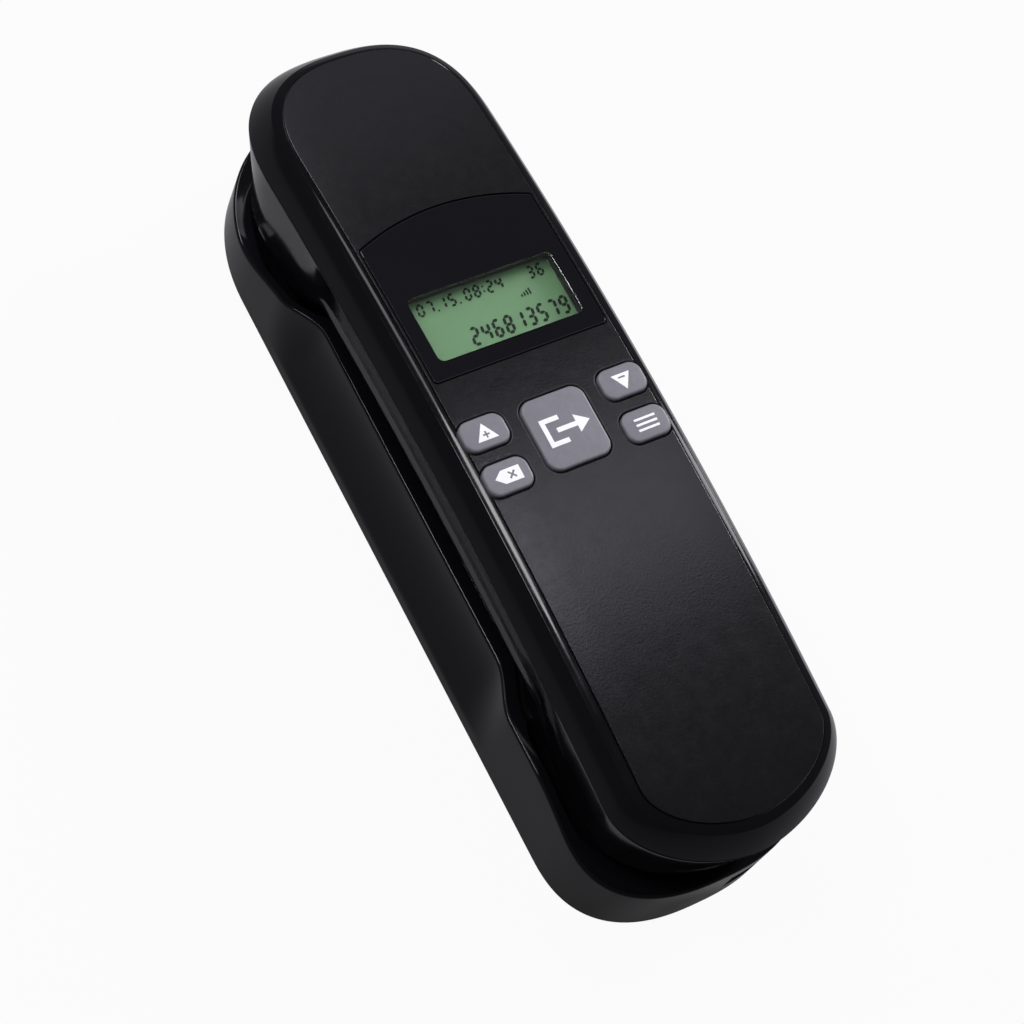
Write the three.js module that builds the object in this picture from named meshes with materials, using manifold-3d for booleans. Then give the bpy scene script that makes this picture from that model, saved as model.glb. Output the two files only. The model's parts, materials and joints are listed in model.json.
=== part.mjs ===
import * as THREE from 'three';
import { mergeVertices } from 'three/addons/utils/BufferGeometryUtils.js';
import Module from 'manifold-3d';

// Corded slim telephone: a handset that lies face down in a long cradle base.
// Millimetres, Z up, the floor at zero, X across, Y along with the ear end at plus Y.
const wasm = await Module();
wasm.setup();
const { Manifold, Mesh } = wasm;

// Shell walls, seams and clearances
const wall = 2.6;
const seam = 0.3;
const lip = { inset: 1.6, height: 1.2, gap: 0.2 };
const seatGap = 0.5;
const fitGap = 0.15;
const slideGap = 0.35;
const restGap = 0.05;
const overcut = 1;

// Plan outline of the handset: straight sides and two rounded ends
const handset = {
  halfWidth: 28.2,
  lowTip: -103.4,
  highTip: 101,
  lowRound: 20,
  highRound: 29.2,
  lowPower: 1.82,
  highPower: 2.6,
};
handset.lowStraight = handset.lowTip + handset.lowRound;
handset.highStraight = handset.highTip - handset.highRound;

// Plan outline of the base, set out from that of the handset
const base = {
  sideProud: 1.55,
  lowInset: 1.2,
  highProud: 0.6,
  lowRound: 24.2,
  highRound: 34.6,
  lowPower: 2.5,
  highPower: 2.1,
};
base.halfWidth = handset.halfWidth + base.sideProud;
base.lowTip = handset.lowTip + base.lowInset;
base.highTip = handset.highTip + base.highProud;
base.lowStraight = base.lowTip + base.lowRound;
base.highStraight = base.highTip - base.highRound;

// The ear bulge is rounder in plan than the parting line above it
const earPlan = { highInset: 1.5, highPower: 2.2 };
earPlan.highTip = handset.highTip - earPlan.highInset;

// Lengthwise arch of the whole handset, measured as a drop from its crown
const arch = { drop: 7.15, reach: 100, crownY: -12 };

// Ear and mouth bulges under the handset
const ear = { face: 12.5, rise: 15, slopeRun: 14, slopeInset: 41, centreInset: 26 };
ear.slopeEnd = handset.highTip - ear.slopeInset;
ear.slopeStart = ear.slopeEnd - ear.slopeRun;
ear.centreY = handset.highTip - ear.centreInset;
const mouth = { rise: 8, slopeRun: 14, slopeInset: 37.4, micInset: 25.4 };
mouth.slopeEnd = handset.lowTip + mouth.slopeInset;
mouth.slopeStart = mouth.slopeEnd + mouth.slopeRun;
mouth.micY = handset.lowTip + mouth.micInset;

// Heights of the handset at the crown of the arch
const level = { frontDepth: 21.3, backDepth: 7.7 };
level.keyFace = ear.face + ear.rise;
level.parting = level.keyFace + level.frontDepth;
level.top = level.parting + level.backDepth;
level.innerTop = level.top - wall;
mouth.face = level.keyFace - mouth.rise;

// Shaping of the handset edges
const under = { taper: 2.6, span: 7.4, rise: 9, innerShare: 0.6 };
const crest = { lean: 2.7, span: 2.9, rise: 1.8, step: 0.38, stepRun: 0.2 };
const shoulder = { drop: 3, run: 2.4 };

// Base wall, rim, cradle pocket and finger scoops
const rim = {
  underKeys: 1.9,
  earProud: 2,
  lowProud: 0.1,
  earLead: 4,
  earRun: 37,
  lowRun: 32,
  edge: 0.7,
};
rim.mid = level.keyFace - rim.underKeys;
rim.earDrop = rim.mid - ear.face - rim.earProud;
rim.lowDrop = rim.mid - mouth.face - rim.lowProud;
rim.earStart = ear.slopeStart - rim.earLead;
rim.earEnd = rim.earStart + rim.earRun;
rim.lowStart = mouth.slopeEnd;
rim.lowEnd = rim.lowStart - rim.lowRun;
const scoop = { depth: 4.15, fromZ: 5, lowLead: 2, lowRun: 14, highLead: 4, highRun: 13 };
scoop.lowOut = mouth.slopeStart - scoop.lowLead;
scoop.lowFull = scoop.lowOut + scoop.lowRun;
scoop.highOut = ear.slopeEnd - scoop.highLead;
scoop.highFull = scoop.highOut - scoop.highRun;
const pocket = { wall: 2.4, span: 7.2, rise: 6.5, underKeys: 5, floorThick: 2.2, slopeGap: 3 };
pocket.midFloor = level.keyFace - pocket.underKeys;
const foot = {
  height: 1.2,
  radius: 4.5,
  sink: 0.5,
  sideInset: 12.75,
  lowInset: 32.2,
  highInset: 35.6,
  edge: 0.3,
};
foot.x = base.halfWidth - foot.sideInset;
foot.lowY = base.lowTip + foot.lowInset;
foot.highY = base.highTip - foot.highInset;
const cover = { thick: 2.4 };

// Display lens, mask, glass and holder
const lens = { sideInset: 6.7, tipInset: 49.5, sag: 4.4, length: 35, corner: 1, thick: 1.1, sink: 0.15 };
lens.halfWidth = handset.halfWidth - lens.sideInset;
lens.peakY = handset.highTip - lens.tipInset;
lens.sideY = lens.peakY - lens.sag;
lens.lowY = lens.sideY - lens.length;
const mask = { thick: 0.3, margin: 0.6 };
const view = { sideInset: 3.5, halfY: 8.1, lowInset: 12.3, corner: 1.6 };
view.halfX = lens.halfWidth - view.sideInset;
view.y = lens.lowY + view.lowInset;
const glass = { sideProud: 2.2, endProud: 2.9, thick: 2.6, depth: 2.5 };
glass.halfX = view.halfX + glass.sideProud;
glass.halfY = view.halfY + glass.endProud;
glass.level = level.top - glass.depth;
const holder = { frame: 1.2, seat: 1.5, edge: 0.8 };
holder.halfX = glass.halfX + holder.frame;
holder.halfY = glass.halfY + holder.frame;
holder.lowLevel = glass.level - glass.thick - holder.seat;
const strip = { sideProud: 1, halfY: 0.9, endInset: 1.4 };
strip.halfX = view.halfX + strip.sideProud;
strip.offsetY = glass.halfY - strip.endInset;

// Buttons on the back of the handset
const backKey = {
  proud: 0.8,
  rowY: 5.4,
  sideInset: 5.6,
  lensGap: 19.45,
  halfX: 5.4,
  halfY: 3.7,
  corner: 2.6,
  bigGap: 4,
  bigHalfY: 8.6,
  bigCorner: 3,
  edge: 0.5,
  footDepth: 3.9,
  flange: 0.7,
  flangeThick: 0.8,
  padGap: 0.3,
  padShare: 0.5,
};
backKey.columnX = handset.halfWidth - backKey.sideInset - backKey.halfX;
backKey.bigHalfX = backKey.columnX - backKey.halfX - backKey.bigGap;
backKey.centreY = lens.lowY - backKey.lensGap;
backKey.foot = level.top - backKey.footDepth;
backKey.padTop = backKey.foot - backKey.padGap;

// Boards inside the handset, each one flat between its two ends
const mat = { thick: 0.9, margin: 1 };
const displayBoard = {
  sideInset: 7.7,
  lowReach: 16.65,
  highReach: 0.9,
  glassGap: 2.2,
  thick: 1.6,
  corner: 2,
};
displayBoard.halfX = handset.halfWidth - displayBoard.sideInset;
displayBoard.lowY = backKey.centreY - displayBoard.lowReach;
displayBoard.highY = lens.sideY + displayBoard.highReach;
displayBoard.bottom = glass.level - glass.thick - displayBoard.glassGap - displayBoard.thick;
const keyBoard = { sideInset: 9.2, lowGap: 6, highGap: 3, lift: 8.9, thick: 1.6, corner: 2 };
keyBoard.halfX = handset.halfWidth - keyBoard.sideInset;
keyBoard.lowY = mouth.slopeStart + keyBoard.lowGap;
keyBoard.highY = ear.slopeStart - keyBoard.highGap;
keyBoard.bottom = level.keyFace + keyBoard.lift;
const support = { radius: 1.7, sideInset: 3.5, lowInset: 6, highInset: 5 };
support.x = keyBoard.halfX - support.sideInset;
support.lowY = keyBoard.lowY + support.lowInset;
support.highY = keyBoard.highY - support.highInset;

// Number keys on the inner side of the handset
const numberKey = {
  proud: 1.4,
  sideInset: 12,
  gapX: 3,
  pitchY: 10.4,
  topInset: 16,
  halfY: 3.2,
  corner: 1.8,
  holeCorner: 1,
  edge: 0.4,
  middleGap: 1.5,
  endInset: 0.3,
  wideDrop: 45,
  flange: 0.5,
  flangeThick: 0.7,
  topGap: 2.6,
  padTravel: 1.1,
};
numberKey.halfX = (handset.halfWidth - numberKey.sideInset - numberKey.gapX) / 3;
numberKey.pitchX = 2 * numberKey.halfX + numberKey.gapX;
numberKey.topRowY = keyBoard.highY - numberKey.topInset;
numberKey.wideY = numberKey.topRowY - numberKey.wideDrop;
const wideReach = numberKey.pitchX + numberKey.halfX - numberKey.endInset;
numberKey.wideHalfX = (wideReach - numberKey.middleGap) / 2;
numberKey.wideX = numberKey.middleGap + numberKey.wideHalfX;

// Receiver, microphone and the socket at the mouth end
const receiver = {
  radius: 13.2,
  height: 7.6,
  rimStep: 1.6,
  rimHeight: 2.2,
  holeRadius: 1.1,
  ringRadius: 5.2,
  holes: 6,
};
const gasket = { rimInset: 0.6, width: 2.8, thick: 1.2 };
gasket.outer = receiver.radius - gasket.rimInset;
gasket.inner = gasket.outer - gasket.width;
const mic = { radius: 4.85, height: 5.4, bootWall: 1.1, bootRise: 1.2, holeRadius: 1.2 };
const smallJack = {
  halfX: 5.6,
  depth: 12.6,
  height: 10.6,
  mouthHalfX: 3.9,
  mouthHeight: 6.8,
  mouthLift: 1.8,
  mouthDepth: 10.6,
};
const bigJack = { ...smallJack, halfX: 6.6, depth: 13.6, mouthHalfX: 4.9, mouthDepth: 11.4 };
const latch = { halfX: 1.7, height: 1.3 };
const handsetJack = { tipInset: 5.5, lift: 5.5 };
handsetJack.frontY = handset.lowTip + handsetJack.tipInset;
handsetJack.bottomZ = mouth.face + handsetJack.lift;

// Screws and the bosses that take them
const screw = {
  headRadius: 2.8,
  headHeight: 1.5,
  shankRadius: 1.4,
  length: 10,
  slotHalf: 0.35,
  slotReach: 1.8,
  slotDepth: 0.8,
};
const boss = { radius: 4, hole: 1.6, well: 3.15, web: 1.8 };
const handsetScrew = { lowGap: 8, highGap: 10, lift: 10.5, seatWeb: 2.5, holeDepth: 7.5 };
handsetScrew.lowY = keyBoard.lowY - handsetScrew.lowGap;
handsetScrew.highY = keyBoard.highY + handsetScrew.highGap;
handsetScrew.splitZ = level.keyFace + handsetScrew.lift;
handsetScrew.seatZ = handsetScrew.splitZ - handsetScrew.seatWeb;
handsetScrew.endZ = handsetScrew.splitZ + handsetScrew.holeDepth;
const baseScrew = { sideInset: 11.25, lowInset: 20.2, highInset: 53.6, coverRise: 2.2 };
baseScrew.x = base.halfWidth - baseScrew.sideInset;
baseScrew.lowY = base.lowTip + baseScrew.lowInset;
baseScrew.highY = base.highTip - baseScrew.highInset;

// Hook switch with its plunger and coil spring
const hook = { micGap: 8, stem: 3, flange: 7, flangeThick: 1.3, travel: 4, headGap: 0.15, edge: 0.6 };
hook.y = mouth.micY + hook.micGap;
const coil = { radius: 3.7, wire: 0.35, turns: 4, stepsPerTurn: 9, sides: 3 };
const hookSwitch = { reach: 5.1, halfY: 5, gap: 0.4, stub: 0.8, stubHalf: 1.1, halfX: 3.2 };
hookSwitch.x = -hook.flange - hookSwitch.reach + hookSwitch.halfX;

// Sockets, board, ballast and sounder inside the base
const baseJack = { sideInset: 21.75, tipInset: 5.3 };
baseJack.x = base.halfWidth - baseJack.sideInset;
baseJack.frontY = base.lowTip + baseJack.tipInset;
const lineJack = { hookGap: 6, sideInset: 3.45 };
lineJack.y = hook.y + lineJack.hookGap;
lineJack.frontX = base.halfWidth - lineJack.sideInset;
const baseBoard = {
  sideProud: 0.2,
  endInset: 0.5,
  highGap: 22,
  armHalfY: 8.5,
  armInset: 0.3,
  lift: 0.6,
  thick: 1.6,
};
baseBoard.halfX = baseJack.x + smallJack.halfX - baseBoard.sideProud;
baseBoard.lowY = baseJack.frontY + baseBoard.endInset;
baseBoard.highY = hook.y + baseBoard.highGap;
baseBoard.armLowY = lineJack.y - baseBoard.armHalfY;
baseBoard.armHighX = lineJack.frontX - baseBoard.armInset;
const peg = { radius: 2, sideInset: 4.4, lowInset: 6.4, highInset: 5 };
peg.x = baseBoard.halfX - peg.sideInset;
peg.lowY = baseBoard.lowY + peg.lowInset;
peg.highY = baseBoard.highY - peg.highInset;
const weight = { sideInset: 10.75, lowGap: 10, highGap: 12, thick: 5, lift: 0.4, corner: 3, edge: 0.6 };
weight.halfX = base.halfWidth - weight.sideInset;
weight.lowY = baseBoard.highY + weight.lowGap;
weight.highY = baseScrew.highY - weight.highGap;
const buzzer = {
  tipInset: 25.6,
  radius: 12.4,
  topGap: 0.6,
  lift: 0.4,
  holeRadius: 1.6,
  holeDepth: 1.5,
  step: 0.8,
};
buzzer.y = base.highTip - buzzer.tipInset;
buzzer.low = foot.height + cover.thick + buzzer.lift;
buzzer.thick = ear.face - seatGap - pocket.floorThick - buzzer.topGap - buzzer.low;
const slot = { halfX: 0.8, halfY: 6.5, pitch: 4.4, eachSide: 2 };

// Slide switch for the ringer volume
const ringer = { buzzerGap: 16, z: 7, halfY: 5.4, halfZ: 2.7, depth: 5, backGap: 0.3, travel: 3 };
ringer.y = buzzer.y - ringer.buzzerGap;
const knob = { halfY: 1.8, halfZ: 1.2, inner: 0.6, sink: 0.25, rib: 0.5 };

// Counts that set how finely curves are divided
const steps = {
  corner: 7,
  round: 4,
  key: 2,
  backKey: 3,
  hole: 1,
  turned: 20,
  post: 12,
  small: 8,
  pinhole: 6,
  baseWall: 5,
};

// Spacing of the cross sections along the straight sides, closer where the underside slopes
const station = { coarse: 8.6, fine: 3.1, reach: 2.5 };

const quarterTurn = Math.PI / 2;

// The whole telephone is shifted so that its length is centred on zero
const telephone = new THREE.Group();
telephone.position.y = -(handset.lowTip + base.highTip) / 2;
const handsetGroup = new THREE.Group();
const baseGroup = new THREE.Group();
telephone.add(handsetGroup, baseGroup);

function ease(t) {
  const s = Math.min(1, Math.max(0, t));
  return s * s * (3 - 2 * s);
}

function sag(y) {
  return arch.drop * ((y - arch.crownY) / arch.reach) ** 2;
}

// Height of a level that follows the arch
function arched(height) {
  return (x, y) => height - sag(y);
}

// Height of a level on a flat board that spans the arch between two ends
function chord(height, board) {
  const low = sag(board.lowY);
  const high = sag(board.highY);
  const span = board.highY - board.lowY;
  return (x, y) => height - low - ((high - low) * (y - board.lowY)) / span;
}

function flat(height) {
  return () => height;
}

// Underside of the handset along its length
function underZ(y) {
  const mid = level.keyFace - sag(y);
  const toEar = ease((y - ear.slopeStart) / (ear.slopeEnd - ear.slopeStart));
  const toMouth = ease((mouth.slopeStart - y) / (mouth.slopeStart - mouth.slopeEnd));
  return mid + (ear.face - mid) * toEar + (mouth.face - mid) * toMouth;
}

// Top of the base wall along its length
function rimZ(y) {
  const toEar = ease((y - rim.earStart) / (rim.earEnd - rim.earStart));
  const toLow = ease((rim.lowStart - y) / (rim.lowStart - rim.lowEnd));
  return rim.mid - rim.earDrop * toEar - rim.lowDrop * toLow;
}

// Floor of the cradle pocket along its length, kept clear of the slopes of the handset
function floorZ(y) {
  const near = Math.min(underZ(y - pocket.slopeGap), underZ(y), underZ(y + pocket.slopeGap));
  return Math.min(near - seatGap, pocket.midFloor);
}

// How far the finger scoop draws the base wall in at a place on the wall
function scoopAt(y, z) {
  const low = ease((y - scoop.lowOut) / (scoop.lowFull - scoop.lowOut));
  const high = ease((scoop.highOut - y) / (scoop.highOut - scoop.highFull));
  const up = Math.min(1, Math.max(0, (z - scoop.fromZ) / (rimZ(y) - scoop.fromZ)));
  return scoop.depth * low * high * Math.sin(quarterTurn * up);
}

// Places of the cross sections between the two rounded ends
function stations(low, high) {
  const places = [];
  let y = low;
  while (y < high) {
    const lowSlope = y > mouth.slopeEnd - station.reach && y < scoop.lowFull + station.reach;
    const highSlope = y > ear.slopeStart - station.reach && y < ear.slopeEnd + station.reach;
    y += lowSlope || highSlope ? station.fine : station.coarse;
    if (y < high - station.reach) places.push(y);
  }
  return places;
}

// Outlines give the half width and the Y place of points from the low tip to the high tip
function bodyOutline(shape) {
  const half = (inset) => {
    const width = shape.halfWidth - inset;
    const points = [];
    for (let k = 0; k <= steps.corner; k += 1) {
      const angle = quarterTurn * (1 - k / steps.corner);
      const run = shape.lowStraight - shape.lowTip - inset;
      const x = k === 0 ? 0 : width * Math.cos(angle) ** (2 / shape.lowPower);
      points.push([x, shape.lowStraight - run * Math.sin(angle) ** (2 / shape.lowPower)]);
    }
    for (const y of stations(shape.lowStraight, shape.highStraight)) points.push([width, y]);
    for (let k = 0; k <= steps.corner; k += 1) {
      const angle = (quarterTurn * k) / steps.corner;
      const run = shape.highTip - inset - shape.highStraight;
      const x = k === steps.corner ? 0 : width * Math.cos(angle) ** (2 / shape.highPower);
      points.push([x, shape.highStraight + run * Math.sin(angle) ** (2 / shape.highPower)]);
    }
    return points;
  };
  return { cx: 0, half };
}

function boxOutline(cx, cy, halfX, halfY, corner = 0, count = steps.key) {
  const half = (inset) => {
    const hx = halfX - inset;
    const hy = halfY - inset;
    const r = Math.max(0, corner - inset);
    const points = [[0, cy - hy]];
    const arcs = r > 0 ? count : 0;
    for (let k = 0; k <= arcs; k += 1) {
      const angle = arcs > 0 ? (quarterTurn * k) / arcs : 0;
      points.push([hx - r + r * Math.sin(angle), cy - hy + r - r * Math.cos(angle)]);
    }
    for (let k = 0; k <= arcs; k += 1) {
      const angle = arcs > 0 ? (quarterTurn * k) / arcs : 0;
      points.push([hx - r + r * Math.cos(angle), cy + hy - r + r * Math.sin(angle)]);
    }
    points.push([0, cy + hy]);
    return points;
  };
  return { cx, half };
}

function lensOutline(grow) {
  const half = (inset) => {
    const hx = lens.halfWidth + grow - inset;
    const lowY = lens.lowY - grow + inset;
    const sideY = lens.sideY + grow - inset;
    const rise = lens.peakY - lens.sideY;
    const points = [[0, lowY], [hx - lens.corner, lowY], [hx, lowY + lens.corner]];
    for (let k = 0; k <= steps.corner; k += 1) {
      const share = k / steps.corner;
      points.push([hx * (1 - share), sideY + rise * (1 - (1 - share) ** 2)]);
    }
    const along = (sideY - lowY - lens.corner) / steps.corner;
    const side = [];
    for (let k = 1; k < steps.corner; k += 1) {
      side.push([hx, lowY + lens.corner + along * k]);
    }
    points.splice(3, 0, ...side);
    return points;
  };
  return { cx: 0, half };
}

// A solid stacked from rings of one outline, closed by ladder caps at both ends
function stack(outline, levels, drawIn = () => 0) {
  const rings = levels.map(([inset, zOf, plan = outline]) => {
    const half = plan.half(inset);
    const place = ([dx, y], side) => {
      const z = zOf(outline.cx + side * dx, y);
      return [outline.cx + side * Math.max(0, dx - drawIn(y, z)), y, z];
    };
    const right = half.map((p) => place(p, 1));
    const left = half.slice(1, -1).reverse().map((p) => place(p, -1));
    return right.concat(left);
  });
  const count = rings[0].length;
  const tip = count / 2;
  const points = rings.flat();
  const faces = [];
  const face = (a, b, c) => faces.push(a, b, c);
  for (let r = 0; r + 1 < rings.length; r += 1) {
    for (let j = 0; j < count; j += 1) {
      const next = (j + 1) % count;
      const a = r * count;
      face(a + j, a + next, a + count + next);
      face(a + j, a + count + next, a + count + j);
    }
  }
  const last = (rings.length - 1) * count;
  for (let i = 0; i < tip; i += 1) {
    const b = i + 1;
    const c = (count - b) % count;
    const d = (count - i) % count;
    face(last + i, last + b, last + c);
    face(last + i, last + c, last + d);
    face(i, c, b);
    face(i, d, c);
  }
  const geometry = new THREE.BufferGeometry();
  geometry.setAttribute('position', new THREE.Float32BufferAttribute(points.flat(), 3));
  geometry.setIndex(faces);
  return solidOf(geometry);
}

// A closed geometry as a solid that can be joined and cut
function solidOf(geometry) {
  geometry.deleteAttribute('normal');
  geometry.deleteAttribute('uv');
  const merged = mergeVertices(geometry);
  const index = Array.from(merged.index.array);
  const faces = [];
  for (let i = 0; i < index.length; i += 3) {
    const [p, q, r] = index.slice(i, i + 3);
    if (p !== q && q !== r && r !== p) faces.push(p, q, r);
  }
  const vertProperties = new Float32Array(merged.getAttribute('position').array);
  return new Manifold(new Mesh({ numProp: 3, vertProperties, triVerts: new Uint32Array(faces) }));
}

function box(lowX, highX, lowY, highY, lowZ, highZ) {
  const geometry = new THREE.BoxGeometry(highX - lowX, highY - lowY, highZ - lowZ);
  geometry.translate((lowX + highX) / 2, (lowY + highY) / 2, (lowZ + highZ) / 2);
  return solidOf(geometry);
}

function post(x, y, radius, lowZ, highZ, sides = steps.post) {
  const geometry = new THREE.CylinderGeometry(radius, radius, highZ - lowZ, sides);
  geometry.rotateX(quarterTurn);
  geometry.translate(x, y, (lowZ + highZ) / 2);
  return solidOf(geometry);
}

// A turned piece about the Z axis from a profile of radius and height pairs that ends on the axis
function turned(profile, sides = steps.turned) {
  const points = profile.map(([radius, z]) => new THREE.Vector2(radius, z));
  const geometry = new THREE.LatheGeometry(points, sides);
  geometry.rotateX(quarterTurn);
  return solidOf(geometry);
}

function join(...parts) {
  return parts.reduce((whole, part) => whole.add(part));
}

function cut(whole, ...tools) {
  return tools.reduce((left, tool) => left.subtract(tool), whole);
}

// Adds a piece to its group as a named mesh with its own material
function add(parent, name, shape, look, x = 0, y = 0, z = 0) {
  const mesh = shape.getMesh();
  const geometry = new THREE.BufferGeometry();
  geometry.setAttribute('position', new THREE.BufferAttribute(new Float32Array(mesh.vertProperties), 3));
  geometry.setIndex(new THREE.BufferAttribute(new Uint32Array(mesh.triVerts), 1));
  geometry.computeVertexNormals();
  const node = new THREE.Mesh(geometry, new THREE.MeshStandardMaterial(look));
  node.name = name;
  node.position.set(x, y, z);
  parent.add(node);
  return node;
}

// Colours and finish of the materials
const look = {
  gloss: { color: 0x08080a, roughness: 0.25, metalness: 0 },
  matte: { color: 0x17171a, roughness: 0.55, metalness: 0 },
  lens: { color: 0x050506, roughness: 0.08, metalness: 0 },
  film: { color: 0x0a0a0a, roughness: 0.6, metalness: 0 },
  lcd: { color: 0x6c9870, roughness: 0.35, metalness: 0 },
  key: { color: 0x7c7d88, roughness: 0.5, metalness: 0 },
  numberKey: { color: 0x202024, roughness: 0.5, metalness: 0 },
  board: { color: 0x1d5a34, roughness: 0.5, metalness: 0 },
  rubber: { color: 0x2a2a2c, roughness: 0.85, metalness: 0 },
  silicone: { color: 0xb9b9b4, roughness: 0.8, metalness: 0 },
  steel: { color: 0xa8aab0, roughness: 0.3, metalness: 0.9 },
  capsule: { color: 0x3a3b40, roughness: 0.45, metalness: 0 },
  socket: { color: 0x1c1c1e, roughness: 0.5, metalness: 0 },
};

const handsetOutline = bodyOutline(handset);
const bulgeOutline = bodyOutline({ ...handset, ...earPlan });
const baseOutline = bodyOutline(base);

// Levels of a rounded underside: the bottom edge curls in toward a narrower face
function curl(taper, span, rise, bottom, plan) {
  const levels = [];
  for (let k = 0; k < steps.round; k += 1) {
    const angle = (quarterTurn * k) / (steps.round - 1);
    const inset = taper + span * (1 - Math.sin(angle));
    const lift = rise * (1 - Math.cos(angle));
    levels.push([inset, (x, y) => bottom(y) + lift, plan]);
  }
  return levels;
}

// Places of the five buttons on the back
const smallBack = { halfX: backKey.halfX, halfY: backKey.halfY, corner: backKey.corner };
const bigCorner = Math.min(backKey.bigCorner, backKey.bigHalfX - backKey.edge);
const bigBack = { halfX: backKey.bigHalfX, halfY: backKey.bigHalfY, corner: bigCorner };
const upperRow = backKey.centreY + backKey.rowY;
const lowerRow = backKey.centreY - backKey.rowY;
const backKeys = [
  { name: 'out_key', x: 0, y: backKey.centreY, ...bigBack },
  { name: 'up_key', x: -backKey.columnX, y: upperRow, ...smallBack },
  { name: 'down_key', x: backKey.columnX, y: upperRow, ...smallBack },
  { name: 'delete_key', x: -backKey.columnX, y: lowerRow, ...smallBack },
  { name: 'menu_key', x: backKey.columnX, y: lowerRow, ...smallBack },
];

// Places of the number keys, in rows as read from the inner side with the ear end up
const rows = [
  ['key_1', 'key_2', 'key_3'],
  ['key_4', 'key_5', 'key_6'],
  ['key_7', 'key_8', 'key_9'],
  ['key_star', 'key_0', 'key_hash'],
];
const numberKeys = [];
rows.forEach((names, row) => {
  names.forEach((name, column) => {
    const x = numberKey.pitchX * (1 - column);
    const y = numberKey.topRowY - numberKey.pitchY * row;
    numberKeys.push({ name, x, y, halfX: numberKey.halfX });
  });
});
numberKeys.push({ name: 'redial_key', x: numberKey.wideX, y: numberKey.wideY, halfX: numberKey.wideHalfX });
numberKeys.push({ name: 'flash_key', x: -numberKey.wideX, y: numberKey.wideY, halfX: numberKey.wideHalfX });

// Back shell of the handset: the arched upper half with the lens bed and the button holes
function buildBackShell() {
  const edgeTop = level.top - crest.step;
  const edgeLow = edgeTop - crest.rise;
  const outer = [[0, arched(level.parting + seam / 2)]];
  for (let k = 0; k < steps.round; k += 1) {
    const angle = (quarterTurn * k) / (steps.round - 1);
    const inset = crest.lean + crest.span * (1 - Math.cos(angle));
    outer.push([inset, arched(edgeLow + crest.rise * Math.sin(angle))]);
  }
  outer.push([crest.lean + crest.span + crest.stepRun, arched(level.top)]);
  const hollow = stack(handsetOutline, [
    [wall, arched(level.parting - overcut)],
    [wall, arched(level.innerTop - shoulder.drop)],
    [wall + shoulder.run, arched(level.innerTop)],
  ]);
  const rebate = stack(handsetOutline, [
    [lip.inset - lip.gap, arched(level.parting - overcut)],
    [lip.inset - lip.gap, arched(level.parting + lip.height + lip.gap)],
  ]);
  let shell = cut(stack(handsetOutline, outer), hollow, rebate);
  const bedZ = level.top - lens.sink - lens.thick - mask.thick - restGap;
  const bed = stack(lensOutline(fitGap), [[0, arched(bedZ)], [0, arched(level.top + overcut)]]);
  const opening = boxOutline(0, view.y, view.halfX + mask.margin, view.halfY + mask.margin, view.corner);
  const window = stack(opening, [[0, arched(level.innerTop - overcut)], [0, arched(level.top)]]);
  shell = cut(shell, bed, window);
  for (const key of backKeys) {
    const corner = key.corner + slideGap;
    const hole = boxOutline(key.x, key.y, key.halfX + slideGap, key.halfY + slideGap, corner, steps.backKey);
    const low = arched(level.innerTop - overcut);
    shell = cut(shell, stack(hole, [[0, low], [0, arched(level.top + overcut)]]));
  }
  for (const y of [handsetScrew.lowY, handsetScrew.highY]) {
    const low = handsetScrew.splitZ + seam;
    shell = join(shell, post(0, y, boss.radius, low, level.innerTop - sag(y) + overcut));
    shell = cut(shell, post(0, y, boss.hole, low - overcut, handsetScrew.endZ + overcut, steps.small));
  }
  return shell;
}

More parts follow.
